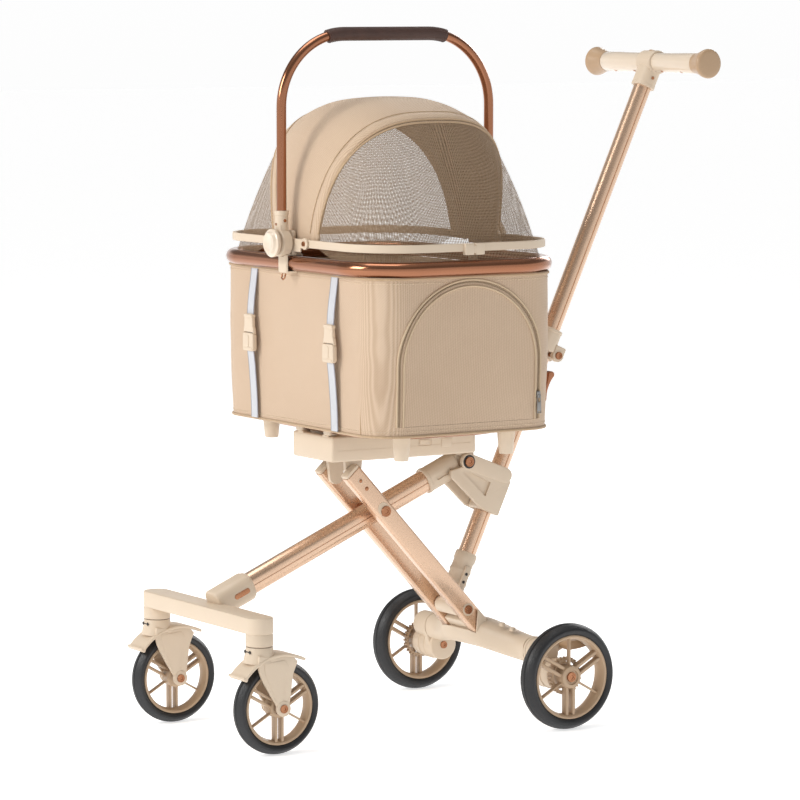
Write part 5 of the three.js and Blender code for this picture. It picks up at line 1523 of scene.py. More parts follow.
@dataclass
class Carrier:
    """Cloth tub with its rim, zipped side door, straps, tray, feet and cushion."""

    middle: float = -205
    bottom: float = 500
    top: float = 754.2
    half_x: float = 255
    half_y: float = 176
    corner: float = 62
    taper: float = 4
    wall: float = 4
    rim_z: float = 767
    rim_x: float = 258
    rim_y: float = 183
    rim_corner: float = 96
    rim_radius: float = 12.5
    door_half: float = 130
    door_low: float = 518
    door_top: float = 743

    @property
    def place(self) -> Matrix:
        """Axes at the carrier's middle, z from the floor."""
        return Matrix.Translation((0, self.middle, 0))

    def round_wall(self, share: float, grow: float) -> Point2:
        """Point round the wall's outline.

        Args:
            share: share of the way round, from the rear corner of the left side.
            grow: distance outside the wall's nominal outline.

        Returns:
            The point.
        """
        r = self.corner + grow
        w, h = self.half_x - self.corner, self.half_y - self.corner
        bend = math.pi / 2 * self.corner
        total = 4 * (w + h) + 4 * bend
        run = share % 1 * total
        for kind, length in (("left", 2 * h), ("bend", bend), ("front", 2 * w), ("bend2", bend),
                             ("right", 2 * h), ("bend3", bend), ("rear", 2 * w), ("bend4", bend)):
            if run <= length:
                break
            run -= length
        turn = run / bend * math.pi / 2
        c, s = r * math.cos(turn), r * math.sin(turn)
        return {
            "left": (w + r, h - run), "bend": (w + c, -h - s), "front": (w - run, -h - r),
            "bend2": (-w - s, -h - c), "right": (-w - r, -h + run), "bend3": (-w - c, h + s),
            "rear": (-w + run, h + r), "bend4": (w + s, h + c),
        }[kind]

    def grow_at(self, z: float) -> float:
        """How far the wall leans in at a height, as a negative distance."""
        return -self.taper * (self.top - z) / (self.top - self.bottom)

    def slack(self, x: float, y: float, z: float) -> float:
        """How far the cloth bellies at a point of the wall."""
        rise = (z - self.bottom) / (self.top - self.bottom)
        hold = math.sin(math.pi * min(max(rise, 0), 1))
        wide = noise.noise(Vector((x * 0.010, y * 0.010, z * 0.004)))
        fine = noise.noise(Vector((x * 0.03, y * 0.03, z * 0.022 + 7)))
        return hold * (1.6 + 1.8 * wide + 0.8 * fine)

    def wall_x(self, y: float, z: float) -> float:
        """Distance of the left wall's outer face from the middle plane.

        Args:
            y: place along the wall, from the carrier's middle.
            z: height from the floor.

        Returns:
            The distance.
        """
        grow = self.grow_at(z)
        h = self.half_y - self.corner
        past = max(abs(y) - h, 0)
        r = self.corner + grow
        x = self.half_x - self.corner + math.sqrt(max(r * r - past * past, 0))
        return x + self.slack(x, y, z)

    def wall_form(self) -> Form:
        """Closed wall of the tub, with its thickness."""
        def surface(u: float, v: float) -> Point3:
            """Point of the wall: u round it, v up the outer face and down the inner."""
            outer = v < 0.47 or v > 0.97
            rise = v / 0.47 if v < 0.47 else (1 if v < 0.5 else (1 - (v - 0.5) / 0.47 if v <= 0.97 else 0))
            z = self.bottom + (self.top - self.bottom) * rise
            x, y = self.round_wall(u, self.grow_at(z))
            give = self.slack(x, y, z) - (0 if outer else self.wall)
            flat = Vector((x - math.copysign(self.half_x - self.corner, x)
                           if abs(x) > self.half_x - self.corner else 0,
                           y - math.copysign(self.half_y - self.corner, y)
                           if abs(y) > self.half_y - self.corner else 0))
            if flat.length > 0:
                flat.normalize()
            return (x + flat.x * give, y + flat.y * give, z)
        return Form(self.place).skin(surface, 220, 66)

    def door_outline(self, grow: float) -> list[Point2]:
        """Arched outline of the door.

        Args:
            grow: distance outside it.

        Returns:
            The outline in y and z.
        """
        half = self.door_half + grow
        shoulder = self.door_top - self.door_half
        low = self.door_low - grow
        return [(-half, low), (half, low), *arc(0, shoulder, half, 0, 180, 48)]

    def walls(self) -> None:
        """Builds the tub's shell and the zipped side door."""
        shell = self.wall_form().carve(Form().plate(self.door_outline(0.3), 193, 272, 0))
        shell.done("carrier_wall", "carrier", CLOTH, "twill_fabric", ["basket_shell"], 50)
        leaf = self.wall_form().carve(Form().plate(self.door_outline(-0.1), 193, 272, 0), True)
        leaf.done("carrier_door_leaf", "door", CLOTH, "twill_fabric", ["side_door"], 50)

    def on_arch(self, grow: float, lift: float, steps: int = 60) -> list[Point3]:
        """Line on the wall that follows the door's arch.

        Args:
            grow: distance outside the arch.
            lift: distance off the cloth.
            steps: spans of the round part.

        Returns:
            The line's points.
        """
        half = self.door_half + grow
        shoulder = self.door_top - self.door_half
        rises = [self.door_low + (shoulder - self.door_low) * n / 10 for n in range(10)]
        line = [(half, z) for z in rises] + arc(0, shoulder, half, 0, 180, steps)
        line += [(-half, z) for z in reversed(rises)]
        return [(self.wall_x(y, z) + lift, y, z) for y, z in line]

    def seams(self) -> None:
        """Builds piping, zip tapes, zip teeth, puller and stitch lines."""
        for name, height, radius in (("bottom_piping", self.bottom + 2.2, 2.4),
                                     ("top_binding", self.top - 1.5, 2.6)):
            line = []
            for n in range(200):
                x, y = self.round_wall(n / 200, self.grow_at(height) + 0.6)
                line.append((x, y, height))
            Form(self.place).pipe(line, radius, True, 4).done(name, "carrier", PIPING, "twill_fabric")
        for name, height in (("upper_stitches", self.top - 9), ("lower_stitches", self.bottom + 10)):
            form = Form(self.place)
            stitches = 300
            for n in range(stitches):
                ends = []
                for share in (n / stitches, (n + 0.55) / stitches):
                    x, y = self.round_wall(share, self.grow_at(height))
                    out = self.slack(x, y, height) + 0.5
                    px, py = self.round_wall(share, self.grow_at(height) + out)
                    ends.append((px, py, height))
                form.pipe([ends[0], ends[1]], 0.5, False, 0)
            form.done(name, "carrier", THREAD, "twill_fabric")
        outer, inner = Form(self.place), Form(self.place)
        outer.pipe(self.on_arch(5.2, 0.9), 1.7, False, 3)
        inner.pipe(self.on_arch(-5.2, 0.9), 1.7, False, 3)
        outer.done("door_zip_tape", "carrier", ZIP, "twill_fabric")
        inner.done("door_leaf_tape", "door", ZIP, "twill_fabric")
        line = self.on_arch(1.2, 0.5, 220)
        teeth = Form(self.place)
        teeth.pipe(line, 1.1, False, 2)
        teeth.done("door_zip_teeth", "carrier", ZIP_DARK, "twill_fabric")
        puller = Form(self.place)
        x = self.wall_x(self.door_half, 556) + 1.5
        puller.block((x - 1, self.door_half - 3.6, 552), (x + 4, self.door_half + 3.6, 563), 1.2)
        puller.pipe([(x + 4.4, self.door_half - 2.6, 557), (x + 4.6, self.door_half - 3.2, 528),
                     (x + 4.6, self.door_half + 3.2, 528), (x + 4.4, self.door_half + 2.6, 557)], 1.1,
                     True, 3)
        puller.block((x + 3.4, self.door_half - 3, 530), (x + 5.6, self.door_half + 3, 546), 0.8)
        puller.done("door_zip_puller", "carrier", GREY_METAL, "webbing")
        seam = Form(self.place)
        seam.pipe([(self.wall_x(6, z) + 0.3, 6, z) for z in (self.door_top + 2, self.top - 2)], 1.2, False, 2)
        for y in (172.4, -172.4):
            seam.pipe([(200, y, z) for z in (self.bottom + 4, self.top - 4)], 0.9, False, 2)
        seam.done("wall_seams", "carrier", PIPING, "twill_fabric")

    def straps(self) -> None:
        """Builds both front straps with their edge stitches and side-release buckles."""
        for side, x in ((Side.RIGHT, -126), (Side.LEFT, 130)):
            front = -self.half_y - 1.2
            depth = {752: 0.0, 735: 2.0, 700: 6.5, 672: 8.5, 645: 9.0, 618: 8.5, 590: 5.5, 545: 2.2,
                     515: 1.0, 504: 1.0}
            line = eased([(x, front - out, z) for z, out in depth.items()], 6)
            band = Form(self.place)

            def surface(u: float, v: float) -> Point3:
                """Point round the strap's flat section (u) and along it (v)."""
                spot = v * (len(line) - 1)
                n = min(int(spot), len(line) - 2)
                at = Vector(line[n]).lerp(Vector(line[n + 1]), spot - n)
                turn = TAU * u
                c, s = math.cos(turn), math.sin(turn)
                half = 10.4
                return (at.x + half * math.copysign(abs(c) ** 0.3, c),
                        at.y + 0.9 * math.copysign(abs(s) ** 0.6, s), at.z)
            band.skin(surface, 28, 90)
            bmesh.ops.holes_fill(band.mesh, edges=[e for e in band.mesh.edges if e.is_boundary])
            band.done(f"closure_strap_{side.word}_webbing", "carrier", STRAP, "webbing",
                      [f"closure_strap_{side.word}"])
            edges = Form(self.place)
            for way in (-1, 1):
                edges.pipe([(px + way * 9.8, py - 0.35, pz) for px, py, pz in line], 0.9, False, 2)
            edges.done(f"strap_edges_{side.word}", "carrier", STRAP_EDGE, "webbing")
            face = front - 9
            clasp = Form(self.place @ Matrix.Translation((x, face, 645)))
            upright = Matrix.Rotation(math.radians(90), 4, "X")
            clasp.slab(rounded(33.4, 30, 5, 5, (0, -15.4)), -2.6, 5.6, 1.6, upright)
            clasp.slab([(-13.5, 0.8), (13.5, 0.8), (12.6, 28), (9.5, 31), (-9.5, 31), (-12.6, 28)],
                       -1.8, 4.6, 1.4, upright)
            clasp.slab(rounded(26, 5, 2, 3, (0, 27.4)), -2.4, 5.4, 0.9, upright)
            clasp.slab(rounded(28, 5, 2, 3, (0, -27)), -2.8, 6.4, 0.9, upright)
            clasp.slab(rounded(7, 20, 2.4, 3, (0, -14)), 4, 6.6, 0.8, upright)
            for way in (-1, 1):
                clasp.slab([(way * 16.6, -2), (way * 11.5, 2.6), (way * 12, 13), (way * 15.4, 7)], -1.6,
                           4.2, 1, upright)
            clasp.done(f"strap_buckle_{side.word}", "carrier", CREAM, "webbing")

    def base(self) -> None:
        """Builds the tray and its tapered feet."""
        form = Form(self.place)
        form.slab(rounded(494, 336, 58, 12), 505, 513, 1.5)
        for x in (-206, 206):
            for y in (-100, 100):
                form.lathe([(0, 459), (10.4, 459), (11.5, 460.2), (13.6, 482), (14.9, 500), (15, 506),
                            (0, 506)],
                           Axis.Z, (x, y, 0), 40)
                form.lathe([(0, 500.2), (19, 500.2), (20, 501.4), (19, 503.4), (0, 506)], Axis.Z,
                           (x, y, 0), 40)
        form.done("carrier_tray", "carrier", CREAM, "cream_plastic", ["basket_base_tray"])

    def rim(self) -> None:
        """Builds the glossy ring round the tub's mouth."""
        line = [(x, y, self.rim_z) for x, y in rounded(self.rim_x * 2, self.rim_y * 2, self.rim_corner, 24)]
        Form(self.place).pipe(line, self.rim_radius, True, 10).done(
            "rim_ring", "carrier", COPPER, "copper_tube", ["rim_tube"], 60)

    def cushion(self) -> None:
        """Builds the sleeping cushion, filled by a cloth simulation."""
        form = Form(self.place)
        form.slab(rounded(468, 310, 48, 10), 516, 542, 9)
        piece = form.done("sleeping_cushion_filled", "carrier", LINING, "cushion_fabric",
                          ["sleeping_cushion"], 60)
        fill_with_cloth(piece, 0.004)
        piping = Form(self.place)
        piping.pipe([(x, y, 529) for x, y in rounded(474, 316, 50, 14)], 2.6, True, 3)
        piping.done("cushion_piping", "carrier", PIPING, "cushion_fabric")

    def build(self) -> None:
        """Builds the carrier."""
        self.walls()
        self.seams()
        self.straps()
        self.base()
        self.rim()
        self.cushion()


def fill_with_cloth(piece: bpy.types.Object, cap: float) -> None:
    """Swells a closed piece as stuffed cloth and keeps the result.

    Args:
        piece: the piece, changed in place.
        cap: furthest that a point may move, in metres.
    """
    remesh = piece.modifiers.new("even", "REMESH")
    remesh.mode, remesh.voxel_size = "VOXEL", 0.006
    scene = bpy.context.scene
    even = bpy.data.meshes.new_from_object(piece.evaluated_get(bpy.context.evaluated_depsgraph_get()))
    piece.modifiers.clear()
    rest = [vert.co.copy() for vert in even.vertices]
    trial = bpy.data.objects.new("trial", even)
    scene.collection.objects.link(trial)
    cloth = trial.modifiers.new("cloth", "CLOTH")
    cloth.settings.use_pressure = True
    cloth.settings.uniform_pressure_force = 4
    cloth.settings.effector_weights.gravity = 0
    cloth.settings.quality = 5
    for step in range(1, 21):
        scene.frame_set(step)
    swollen = bpy.data.meshes.new_from_object(trial.evaluated_get(bpy.context.evaluated_depsgraph_get()))
    for vert, home in zip(swollen.vertices, rest):
        move = vert.co - home
        if move.length > cap:
            vert.co = home + move * (cap / move.length)
    bpy.data.objects.remove(trial)
    scene.frame_set(1)
    swollen.materials.clear()
    swollen.materials.append(piece.data.materials[0])
    swollen.shade_smooth()
    piece.data = swollen
    smoother = piece.modifiers.new("polish", "SUBSURF")
    smoother.levels = smoother.render_levels = 1


# ---------------------------------------------------------------- carry handle


@dataclass
class CarryHandle:
    """Arched carry handle, its leather grip, hubs, knobs and the brackets on the rim."""

    middle: float = -205
    pivot_z: float = 800
    span: float = 199.5
    rise: float = 336
    bend: float = 118
    tube_start: float = 24
    radius: float = 8
    grip_radius: float = 11
    grip_half: float = 120
    rim_y: float = 183
    rim_z: float = 767

    @property
    def place(self) -> Matrix:
        """Axes at the middle of the handle's pivot line."""
        return Matrix.Translation((0, self.middle, self.pivot_z))

    def path(self) -> list[Point3]:
        """Centre line of the arch, from the front foot to the rear one."""
        top, reach, soft = self.rise, self.span, self.bend * 0.45
        line: list[Point3] = []
        foot, shoulder = (-reach, self.tube_start), (-reach, top - self.bend)
        for n in range(12):
            line.append((0, -reach, foot[1] + (shoulder[1] - foot[1]) * n / 12))
        knots = [shoulder, (-reach, top - soft), (-reach + soft, top), (-reach + self.bend, top)]
        for n in range(24):
            t = n / 24
            share = ((1 - t) ** 3, 3 * t * (1 - t) ** 2, 3 * t * t * (1 - t), t**3)
            line.append((0, sum(k[0] * s for k, s in zip(knots, share)),
                         sum(k[1] * s for k, s in zip(knots, share))))
        line += [(0, -reach + self.bend + (reach - self.bend) * n / 8, top) for n in range(9)]
        return line + [(0, -y, z) for _, y, z in reversed(line[:-1])]

    def arch(self) -> None:
        """Builds the tube and its stitched grip."""
        line = self.path()
        Form(self.place).pipe(line, self.radius, False, 8).done(
            "carry_handle_arch", "bail", COPPER, "copper_tube", ["carry_handle_tube"], 60)
        held = [p for p in line if abs(p[1]) <= self.grip_half]
        grip = Form(self.place)
        grip.pipe(held, self.grip_radius, False, 8)
        for end in (held[0], held[-1]):
            inward = 1 if end[1] < 0 else -1
            near = [p for p in held if abs(p[1]) > self.grip_half - 12]
            part = sorted([p for p in near if p[1] * inward < 0], key=lambda p: p[1])
            if len(part) > 1:
                grip.pipe(part, self.grip_radius + 0.9, False, 8)
        grip.done("carry_handle_leather", "bail", GRIP_LEATHER, "dark_leather", ["carry_handle_grip"], 60)
        seam = Form(self.place)
        for point, after in zip(held, held[1:]):
            run = Vector(after) - Vector(point)
            down = Vector((0, run.z, -run.y)).normalized() * (self.grip_radius + 0.1)
            count = max(1, round(run.length / 5))
            for n in range(count):
                start = Vector(point) + run * ((n + 0.2) / count) + down
                stop = Vector(point) + run * ((n + 0.8) / count) + down
                for way in (-1.4, 1.4):
                    seam.pipe([(way, start.y, start.z), (way, stop.y, stop.z)], 0.45, False, 0)
        seam.done("grip_stitches", "bail", GRIP_LEATHER, "dark_leather")

    def hub(self, word: str, end: int) -> None:
        """Builds one hub with its sleeve, and the knob outside it.

        Args:
            word: front or rear.
            end: direction along y.
        """
        at = Matrix.Translation((0, self.middle + end * self.span, self.pivot_z))
        form = Form(at)
        form.lathe([(0, -9), (20, -9), (22, -7.4), (22, 7.4), (20, 9), (0, 9)], Axis.Y, (0, 0, 0), 60)
        form.lathe([(0, 8), (10.5, 8), (10.5, 44), (11.6, 45), (11.6, 50.4), (10.4, 52), (8.3, 52)],
                   Axis.Z, (0, 0, 0), 44)
        form.block((-9.4, -8.4, 4), (9.4, 8.4, 30), 2.5)
        form.done(f"carry_handle_hub_{word}", "bail", CREAM, "cream_plastic", [f"carry_handle_socket_{word}"])
        screw = Form(at)
        for way in (-1, 1):
            screw.drum(2.7, way * 10, way * 11.3, at=(0, 0, 36), soften=0.3, sides=20)
        screw.drum(2.4, end * 10, end * 11, Axis.Y, (0, 0, 30), 0.3, 20)
        screw.done(f"hub_screws_{word}", "bail", BOLT, "copper_bolt")
        start = self.span + 10.5 + 3.3
        knob = Form(self.place)
        knob.lathe([(0, end * start), (22, end * start), (23, end * (start + 1.4)), (23, end * (start + 5.8)),
                    (21.6, end * (start + 7.4)), (19.2, end * (start + 7.8)), (18.2, end * (start + 9.4)),
                    (16.4, end * (start + 11.8)), (14, end * (start + 12)), (12, end * (start + 10.6)),
                    (0, end * (start + 10))], Axis.Y, (0, 0, 0), 60)
        knob.done(f"carry_handle_knob_{word}_cap", f"knob_{word}", CREAM_GLOSS, "gloss_cream_plastic",
                  [f"carry_handle_knob_{word}"])

    def bracket(self, word: str, end: int) -> None:
        """Builds one bracket: clamp on the rim, upright plate, wings and pins.

        Args:
            word: front or rear.
            end: direction along y.
        """
        at = Matrix.Translation((0, self.middle, 0))
        turn = Matrix.Rotation(0 if end < 0 else math.pi, 4, "Z")
        form = Form(at @ turn)
        y, z = -self.rim_y, self.rim_z
        form.block((-14, y - 16.5, z - 16.5), (14, y + 16.5, z + 16.5), 4.5)
        form.block((-12, -187.5, z), (12, -178.5, 820), 3)
        form.block((-14, -187.5, z + 10), (14, -178.5, 806), 2.5)
        form.block((-56, -187.5, 792.5), (56, -184.1, 807.5), 1.4)
        for way in (-1, 1):
            form.drum(9.4, -187.6, -183.4, Axis.Y, (way * 50, 0, 800), 0.8, 32)
            form.block((way * 26 - 12, -187.4, 786), (way * 26 + 12, -183.9, 802), 1.4)
        form.drum(5, -194, -182, Axis.Y, (0, 0, 800), 0)
        room = Form()
        room.block((-20, y - 12.8, z - 12.8), (20, y + 12.8, z + 12.8), 0)
        room.drum(22.8, -204, -187.5, Axis.Y, (0, 0, 800), 0)
        room.block((-20, -176.3, 700), (20, -150, z - 10.5), 0)
        form.carve(room)
        form.done(f"carry_handle_mount_{word}", "carrier", CREAM, "cream_plastic",
                  [f"carry_handle_bracket_{word}"])
        pins = Form(at @ turn)
        for way in (-1, 1):
            pins.lathe([(0, -190.2), (3.8, -190), (4, -188.6), (4, -187.6), (2.5, -187.6),
                        (2.5, -178.2), (0, -178.2)],
                       Axis.Y, (way * 50, 0, 800), 24)
        pins.pipe([(-5, -195, z - 17), (-5, -197, z - 24), (0, -197.5, z - 27), (5, -197, z - 24),
                   (5, -195, z - 17)],
                  1.3, False, 3)
        pins.done(f"mount_pins_{word}", "carrier", BOLT, "copper_bolt")

    def build(self) -> None:
        """Builds the carry handle."""
        self.arch()
        for word, end in (("front", -1), ("rear", 1)):
            self.hub(word, end)
            self.bracket(word, end)


# ---------------------------------------------------------------- canopy


@dataclass
class Canopy:
    """Domed hood: centre band of cloth, mesh sides and the ring that holds their hems."""

    middle: float = -205
    base: float = 793.5
    pivot_z: float = 800
    half_x: float = 252
    half_y: float = 177
    height: float = 240
    bulge: float = 2.3
    square: float = 0.72
    base_band: float = 70
    top_band: float = 80
    hem_x: float = 255
    hem_corner: float = 90
    belly: float = 7

    @property
    def place(self) -> Matrix:
        """Axes at the middle of the hood's base."""
        return Matrix.Translation((0, self.middle, self.base))

    def dome(self, x: float, turn: float, lift: float = 0.0) -> Point3:
        """Point on the dome.

        Args:
            x: distance from the middle plane.
            turn: 0 at the front hem, 1 at the rear hem.
            lift: distance outside the dome.

        Returns:
            The point.
        """
        spread = max(1 - abs(x / (self.half_x + lift)) ** self.bulge, 0) ** (1 / self.bulge)
        angle = math.pi * min(max(turn, 0), 1)
        c, s = math.cos(angle), max(math.sin(angle), 0)
        y = -(self.half_y + lift) * math.copysign(abs(c) ** self.square, c)
        return (x, y * spread, (self.height + lift) * s**self.square * spread)

    def band_edge(self, turn: float) -> float:
        """Half width of the band."""
        return self.base_band + self.top_band * math.sin(math.pi * turn)

    def wrinkle(self, u: float, v: float, strength: float) -> float:
        """Soft creases of the cloth."""
        broad = noise.noise(Vector((u * 3.1, v * 7.3, 2)))
        drawn = noise.noise(Vector((u * 1.4 + 5, v * 26, 8)))
        return strength * (broad + 0.5 * drawn)

    def band(self) -> None:
        """Builds the cloth band with its padded bows, hems and stitch lines."""
        def outside(u: float, v: float) -> Point3:
            """Point of the band: u across it, v from front to rear."""
            edge = self.band_edge(v)
            x = (2 * u - 1) * edge
            bow = math.exp(-((edge - abs(x) - 12) / 8) ** 2)
            give = self.wrinkle(u, v, 1.1) * min(1, 8 * v, 8 * (1 - v))
            return self.dome(x, v, 2.2 * bow + give)

        def around(u: float, v: float) -> Point3:
            """Point of the band with its thickness: over the outside, back along the inside."""
            if u <= 0.49:
                return outside(u / 0.49, v)
            if u < 0.51:
                x, y, z = outside(1.0, v)
            elif u <= 0.99:
                x, y, z = outside(1 - (u - 0.51) / 0.48, v)
            else:
                x, y, z = outside(0.0, v)
                return (x, y, z) if u > 0.995 else (x, y * 0.985, z * 0.99)
            return (x, y * 0.985, max(z * 0.99, 0))
        form = Form(self.place).skin(around, 160, 120)
        bmesh.ops.holes_fill(form.mesh, edges=[e for e in form.mesh.edges if e.is_boundary])
        piece = form.done("hood_band", "carrier", BAND_CLOTH, "twill_fabric", ["hood_fabric"], 60)
        for way, word in ((-1, "right"), (1, "left")):
            trim = Form(self.place)
            for inset, radius in ((0.4, 1.7), (23, 0.8)):
                line = [self.dome(way * (self.band_edge(n / 80) - inset), n / 80, 1.0) for n in range(1, 80)]
                trim.pipe(line, radius, False, 3)
            trim.done(f"hood_bow_edge_{word}", "carrier", PIPING, "twill_fabric")
            stitch = Form(self.place)
            count = 210
            for n in range(4, count - 4):
                start, stop = n / count, (n + 0.55) / count
                for inset in (4.2, 19.6):
                    ends = [self.dome(way * (self.band_edge(t) - inset), t, 1.6 if inset > 10 else 1.7)
                            for t in (start, stop)]
                    stitch.pipe(ends, 0.45, False, 0)
            stitch.done(f"hood_stitches_{word}", "carrier", THREAD, "twill_fabric")
        hems = Form(self.place)
        for turn in (0.0, 1.0):
            way = -1 if turn == 0 else 1
            hems.pipe([(x, way * self.dome(x, 1.0)[1], 3.4) for x in range(-70, 71, 5)], 2.6, False, 3)
        hems.done("hood_hems", "carrier", PIPING, "twill_fabric")

    def hem(self, share: float, lift: float = 0.0) -> Point3:
        """Point of the left panel's hem, from the front round the side to the rear."""
        corner = self.hem_corner
        half_x, half_y = self.hem_x + lift, self.half_y + lift
        start = self.base_band + 2
        run, bend, side = half_x - corner - start, corner * math.pi / 2, 2 * (half_y - corner)
        folded = min(share, 1 - share) * (2 * run + 2 * bend + side)
        end = -1 if share <= 0.5 else 1
        if folded <= run:
            return (start + folded, end * half_y, 0)
        if folded <= run + bend:
            turn = (folded - run) / corner
            return (half_x - corner * (1 - math.sin(turn)), end * (half_y - corner * (1 - math.cos(turn))), 0)
        return (half_x, end * (half_y - corner - (folded - run - bend)), 0)

    def panel_point(self, u: float, v: float, lift: float = 0.0) -> Vector:
        """Point of the left mesh panel, u down it and v from front to rear."""
        place = 0.015 + 0.97 * v
        high = Vector(self.dome(self.band_edge(place) - 1, place, lift))
        low = Vector(self.hem(0.005 + 0.99 * v, lift))
        low.z -= 24 * min(1, 9 * v, 9 * (1 - v))
        belly = self.belly * math.sin(math.pi * u) * min(1, 6 * v, 6 * (1 - v))
        drawn = self.wrinkle(u * 0.6, v * 1.3, 1.6) * math.sin(math.pi * u)
        return high.lerp(low, u) + Vector((belly + drawn, 0, (belly + drawn) * 0.5))

    def panels(self) -> None:
        """Builds the mesh side panels, their skirts and edge bindings."""
        for side in Side:
            mirror = Matrix.Diagonal((side.sign, 1, 1, 1))
            form = Form(self.place)
            form.skin(lambda u, v: mirror @ self.panel_point(u, v), 60, 150, 0.0, True)
            piece = form.done(f"mesh_side_{side.word}", "", NET, "mesh_fabric",
                              [f"mesh_panel_{side.word}"], 70)
            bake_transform(piece)
            edge = Form(self.place)
            edge.pipe([mirror @ self.panel_point(0.02, n / 90, 0.6) for n in range(91)], 1.8, False, 3)
            edge.done(f"mesh_top_binding_{side.word}", "carrier", PIPING, "twill_fabric")

    def rings(self) -> None:
        """Builds both halves of the base ring with their eyes, tabs and latch blocks."""
        ring_x, ring_y, corner, thick, tall, hinge_x = 260.0, 181.0, 96.0, 5.0, 13.0, 50.0
        for side in Side:
            way = side.sign
            line = [(x, y) for x, y in rounded(ring_x * 2, ring_y * 2, corner, 24)]
            right_half = [(x, y) for x, y in line if x > hinge_x]
            below = [p for p in right_half if p[1] < 0]
            above = [p for p in right_half if p[1] >= 0]
            path = [(hinge_x, -ring_y), *below, *above, (hinge_x, ring_y)]
            clean = [path[0]]
            for point in path[1:]:
                if math.dist(point, clean[-1]) > 1:
                    clean.append(point)
            dense: list[Point2] = []
            for a, b in zip(clean, clean[1:]):
                steps = max(1, round(math.dist(a, b) / 12))
                dense += [(a[0] + (b[0] - a[0]) * n / steps, a[1] + (b[1] - a[1]) * n / steps)
                          for n in range(steps)]
            dense.append(clean[-1])

            def surface(u: float, v: float) -> Point3:
                """Point round the ring's flat section (u) and along it (v)."""
                spot = v * (len(dense) - 1)
                n = min(int(spot), len(dense) - 2)
                a, b = Vector(dense[n]), Vector(dense[n + 1])
                at = a.lerp(b, spot - n)
                before, after = Vector(dense[max(n - 1, 0)]), Vector(dense[min(n + 2, len(dense) - 1)])
                run = (after - before).normalized()
                out = Vector((run.y, -run.x))
                turn = TAU * u
                c, s = math.cos(turn), math.sin(turn)
                deep = thick / 2 * math.copysign(abs(c) ** 0.35, c)
                return (way * (at.x + out.x * deep), at.y + out.y * deep,
                        tall / 2 * math.copysign(abs(s) ** 0.35, s))
            form = Form(Matrix.Translation((0, self.middle, self.pivot_z)))
            form.skin(surface, 32, 190)
            bmesh.ops.holes_fill(form.mesh, edges=[e for e in form.mesh.edges if e.is_boundary])
            for end in (-1, 1):
                form.drum(8, end * (ring_y - 2.5), end * (ring_y + 2.5), Axis.Y, (way * hinge_x, 0, 0),
                          0.8, 32)
            outer = sorted((way * (ring_x - 1), way * (ring_x + 8)))
            for y in (-10, 10):
                form.block((outer[0], y - 8.4, -12), (outer[1], y + 8.4, 6), 1.6)
            form.block((outer[0], -4, -9), (outer[1] - 0.8, 4, 3), 1)
            form.done(f"canopy_base_ring_{side.word}", f"lid_{side.word}", CREAM, "cream_plastic",
                      [f"canopy_ring_{side.word}"], 50)

    def build(self) -> None:
        """Builds the canopy."""
        self.band()
        self.panels()
        self.rings()


# ---------------------------------------------------------------- studio


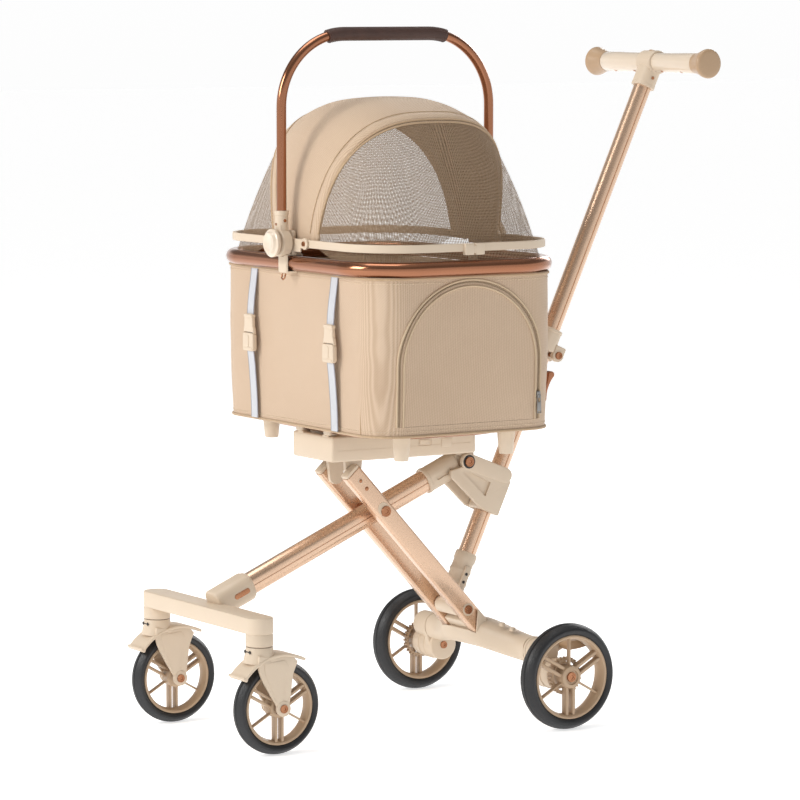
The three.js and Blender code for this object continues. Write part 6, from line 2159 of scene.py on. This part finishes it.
@dataclass
class Studio:
    """Pale floor, soft lights and the camera."""

    eye: Point3 = (5.607, -3.5518, 1.1997)
    tilt: float = 5.77
    heading: float = 58.08
    lens: float = 180.7

    def camera(self) -> None:
        """Adds the camera."""
        lens = bpy.data.cameras.new("view")
        lens.lens, lens.sensor_width = self.lens, 36
        lens.clip_end = 60
        seen = bpy.data.objects.new("view", lens)
        seen.location = self.eye
        seen.rotation_euler = (math.radians(90 - self.tilt), 0, math.radians(self.heading))
        bpy.context.scene.collection.objects.link(seen)
        bpy.context.scene.camera = seen

    def floor(self) -> None:
        """Adds the pale floor."""
        ground = bmesh.new()
        bmesh.ops.create_grid(ground, x_segments=2, y_segments=2, size=40)
        made = bpy.data.meshes.new("floor")
        ground.to_mesh(made)
        ground.free()
        recipe = Recipe("pale_floor")
        recipe.base((0.93, 0.93, 0.93, 1), 0.9)
        recipe.shader.inputs["Emission Color"].default_value = (1, 1, 1, 1)
        recipe.shader.inputs["Emission Strength"].default_value = 0.6
        made.materials.append(recipe.material)
        piece = bpy.data.objects.new("floor", made)
        bpy.context.scene.collection.objects.link(piece)

    def lamp(self, name: str, at: Point3, aim: Point3, size: float, power: float,
             tint: Point3 = (1, 1, 1)) -> None:
        """Adds a soft square lamp.

        Args:
            name: its name.
            at: its place in metres.
            aim: what it points at.
            size: its side in metres.
            power: its power in watts.
            tint: its colour.
        """
        light = bpy.data.lights.new(name, "AREA")
        light.shape, light.size, light.energy, light.color = "SQUARE", size, power, tint
        holder = bpy.data.objects.new(name, light)
        holder.location = at
        holder.rotation_euler = (Vector(aim) - Vector(at)).to_track_quat("-Z", "Y").to_euler()
        bpy.context.scene.collection.objects.link(holder)

    def lights(self) -> None:
        """Adds the lamps and the pale surroundings."""
        middle = (0, -0.1, 0.55)
        self.lamp("key", (-0.6, -4.4, 2.9), middle, 1.8, 120, (1, 0.985, 0.965))
        self.lamp("top", (-0.4, -0.4, 4.6), middle, 2.4, 55)
        self.lamp("rim", (-2.6, 3.6, 2.2), middle, 1.6, 45)
        world = bpy.data.worlds.new("studio")
        world.use_nodes = True
        tree = world.node_tree
        ground = tree.nodes["Background"]
        coords = tree.nodes.new("ShaderNodeTexCoord")
        split = tree.nodes.new("ShaderNodeSeparateXYZ")
        ramp = tree.nodes.new("ShaderNodeValToRGB")
        tree.links.new(coords.outputs["Generated"], split.inputs[0])
        shift = tree.nodes.new("ShaderNodeMapRange")
        shift.inputs[1].default_value, shift.inputs[2].default_value = -1, 1
        tree.links.new(split.outputs[2], shift.inputs[0])
        tree.links.new(shift.outputs[0], ramp.inputs[0])
        ramp.color_ramp.elements[0].position, ramp.color_ramp.elements[0].color = 0.0, (1, 1, 1, 1)
        ramp.color_ramp.elements[1].position, ramp.color_ramp.elements[1].color = 1.0, (0.75, 0.75, 0.75, 1)
        for place, shade in ((0.5, 1.3), (0.6, 1.3), (0.68, 0.35), (0.82, 0.3)):
            stop = ramp.color_ramp.elements.new(place)
            stop.color = (shade, shade, shade, 1)
        tree.links.new(ramp.outputs[0], ground.inputs["Color"])
        ground.inputs["Strength"].default_value = 0.76
        bpy.context.scene.world = world
        bpy.context.scene.view_settings.view_transform = "Standard"

    def build(self) -> None:
        """Builds the studio."""
        self.camera()
        self.floor()
        self.lights()


def main() -> None:
    """Builds every part of the stroller and its studio."""
    logging.basicConfig(level=logging.INFO, format="%(name)s: %(message)s")
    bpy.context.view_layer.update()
    Studio().build()
    for side in Side:
        x = side.sign
        Wheel("rear", side, (x * 230, 0, 87.5), 87.5, 36, 69, 5, True).build()
        Wheel("front", side, (x * 169, -516, 76), 76, 30, 60, 4, False, 5.8, 4.6, 2.8).build()
        Caster(side).build()
    FrontFrame().build()
    RearFrame().build()
    Platform().build()
    PushPost().build()
    Carrier().build()
    CarryHandle().build()
    Canopy().build()
    LOG.info("the stroller is complete")


if __name__ == "__main__":
    main()
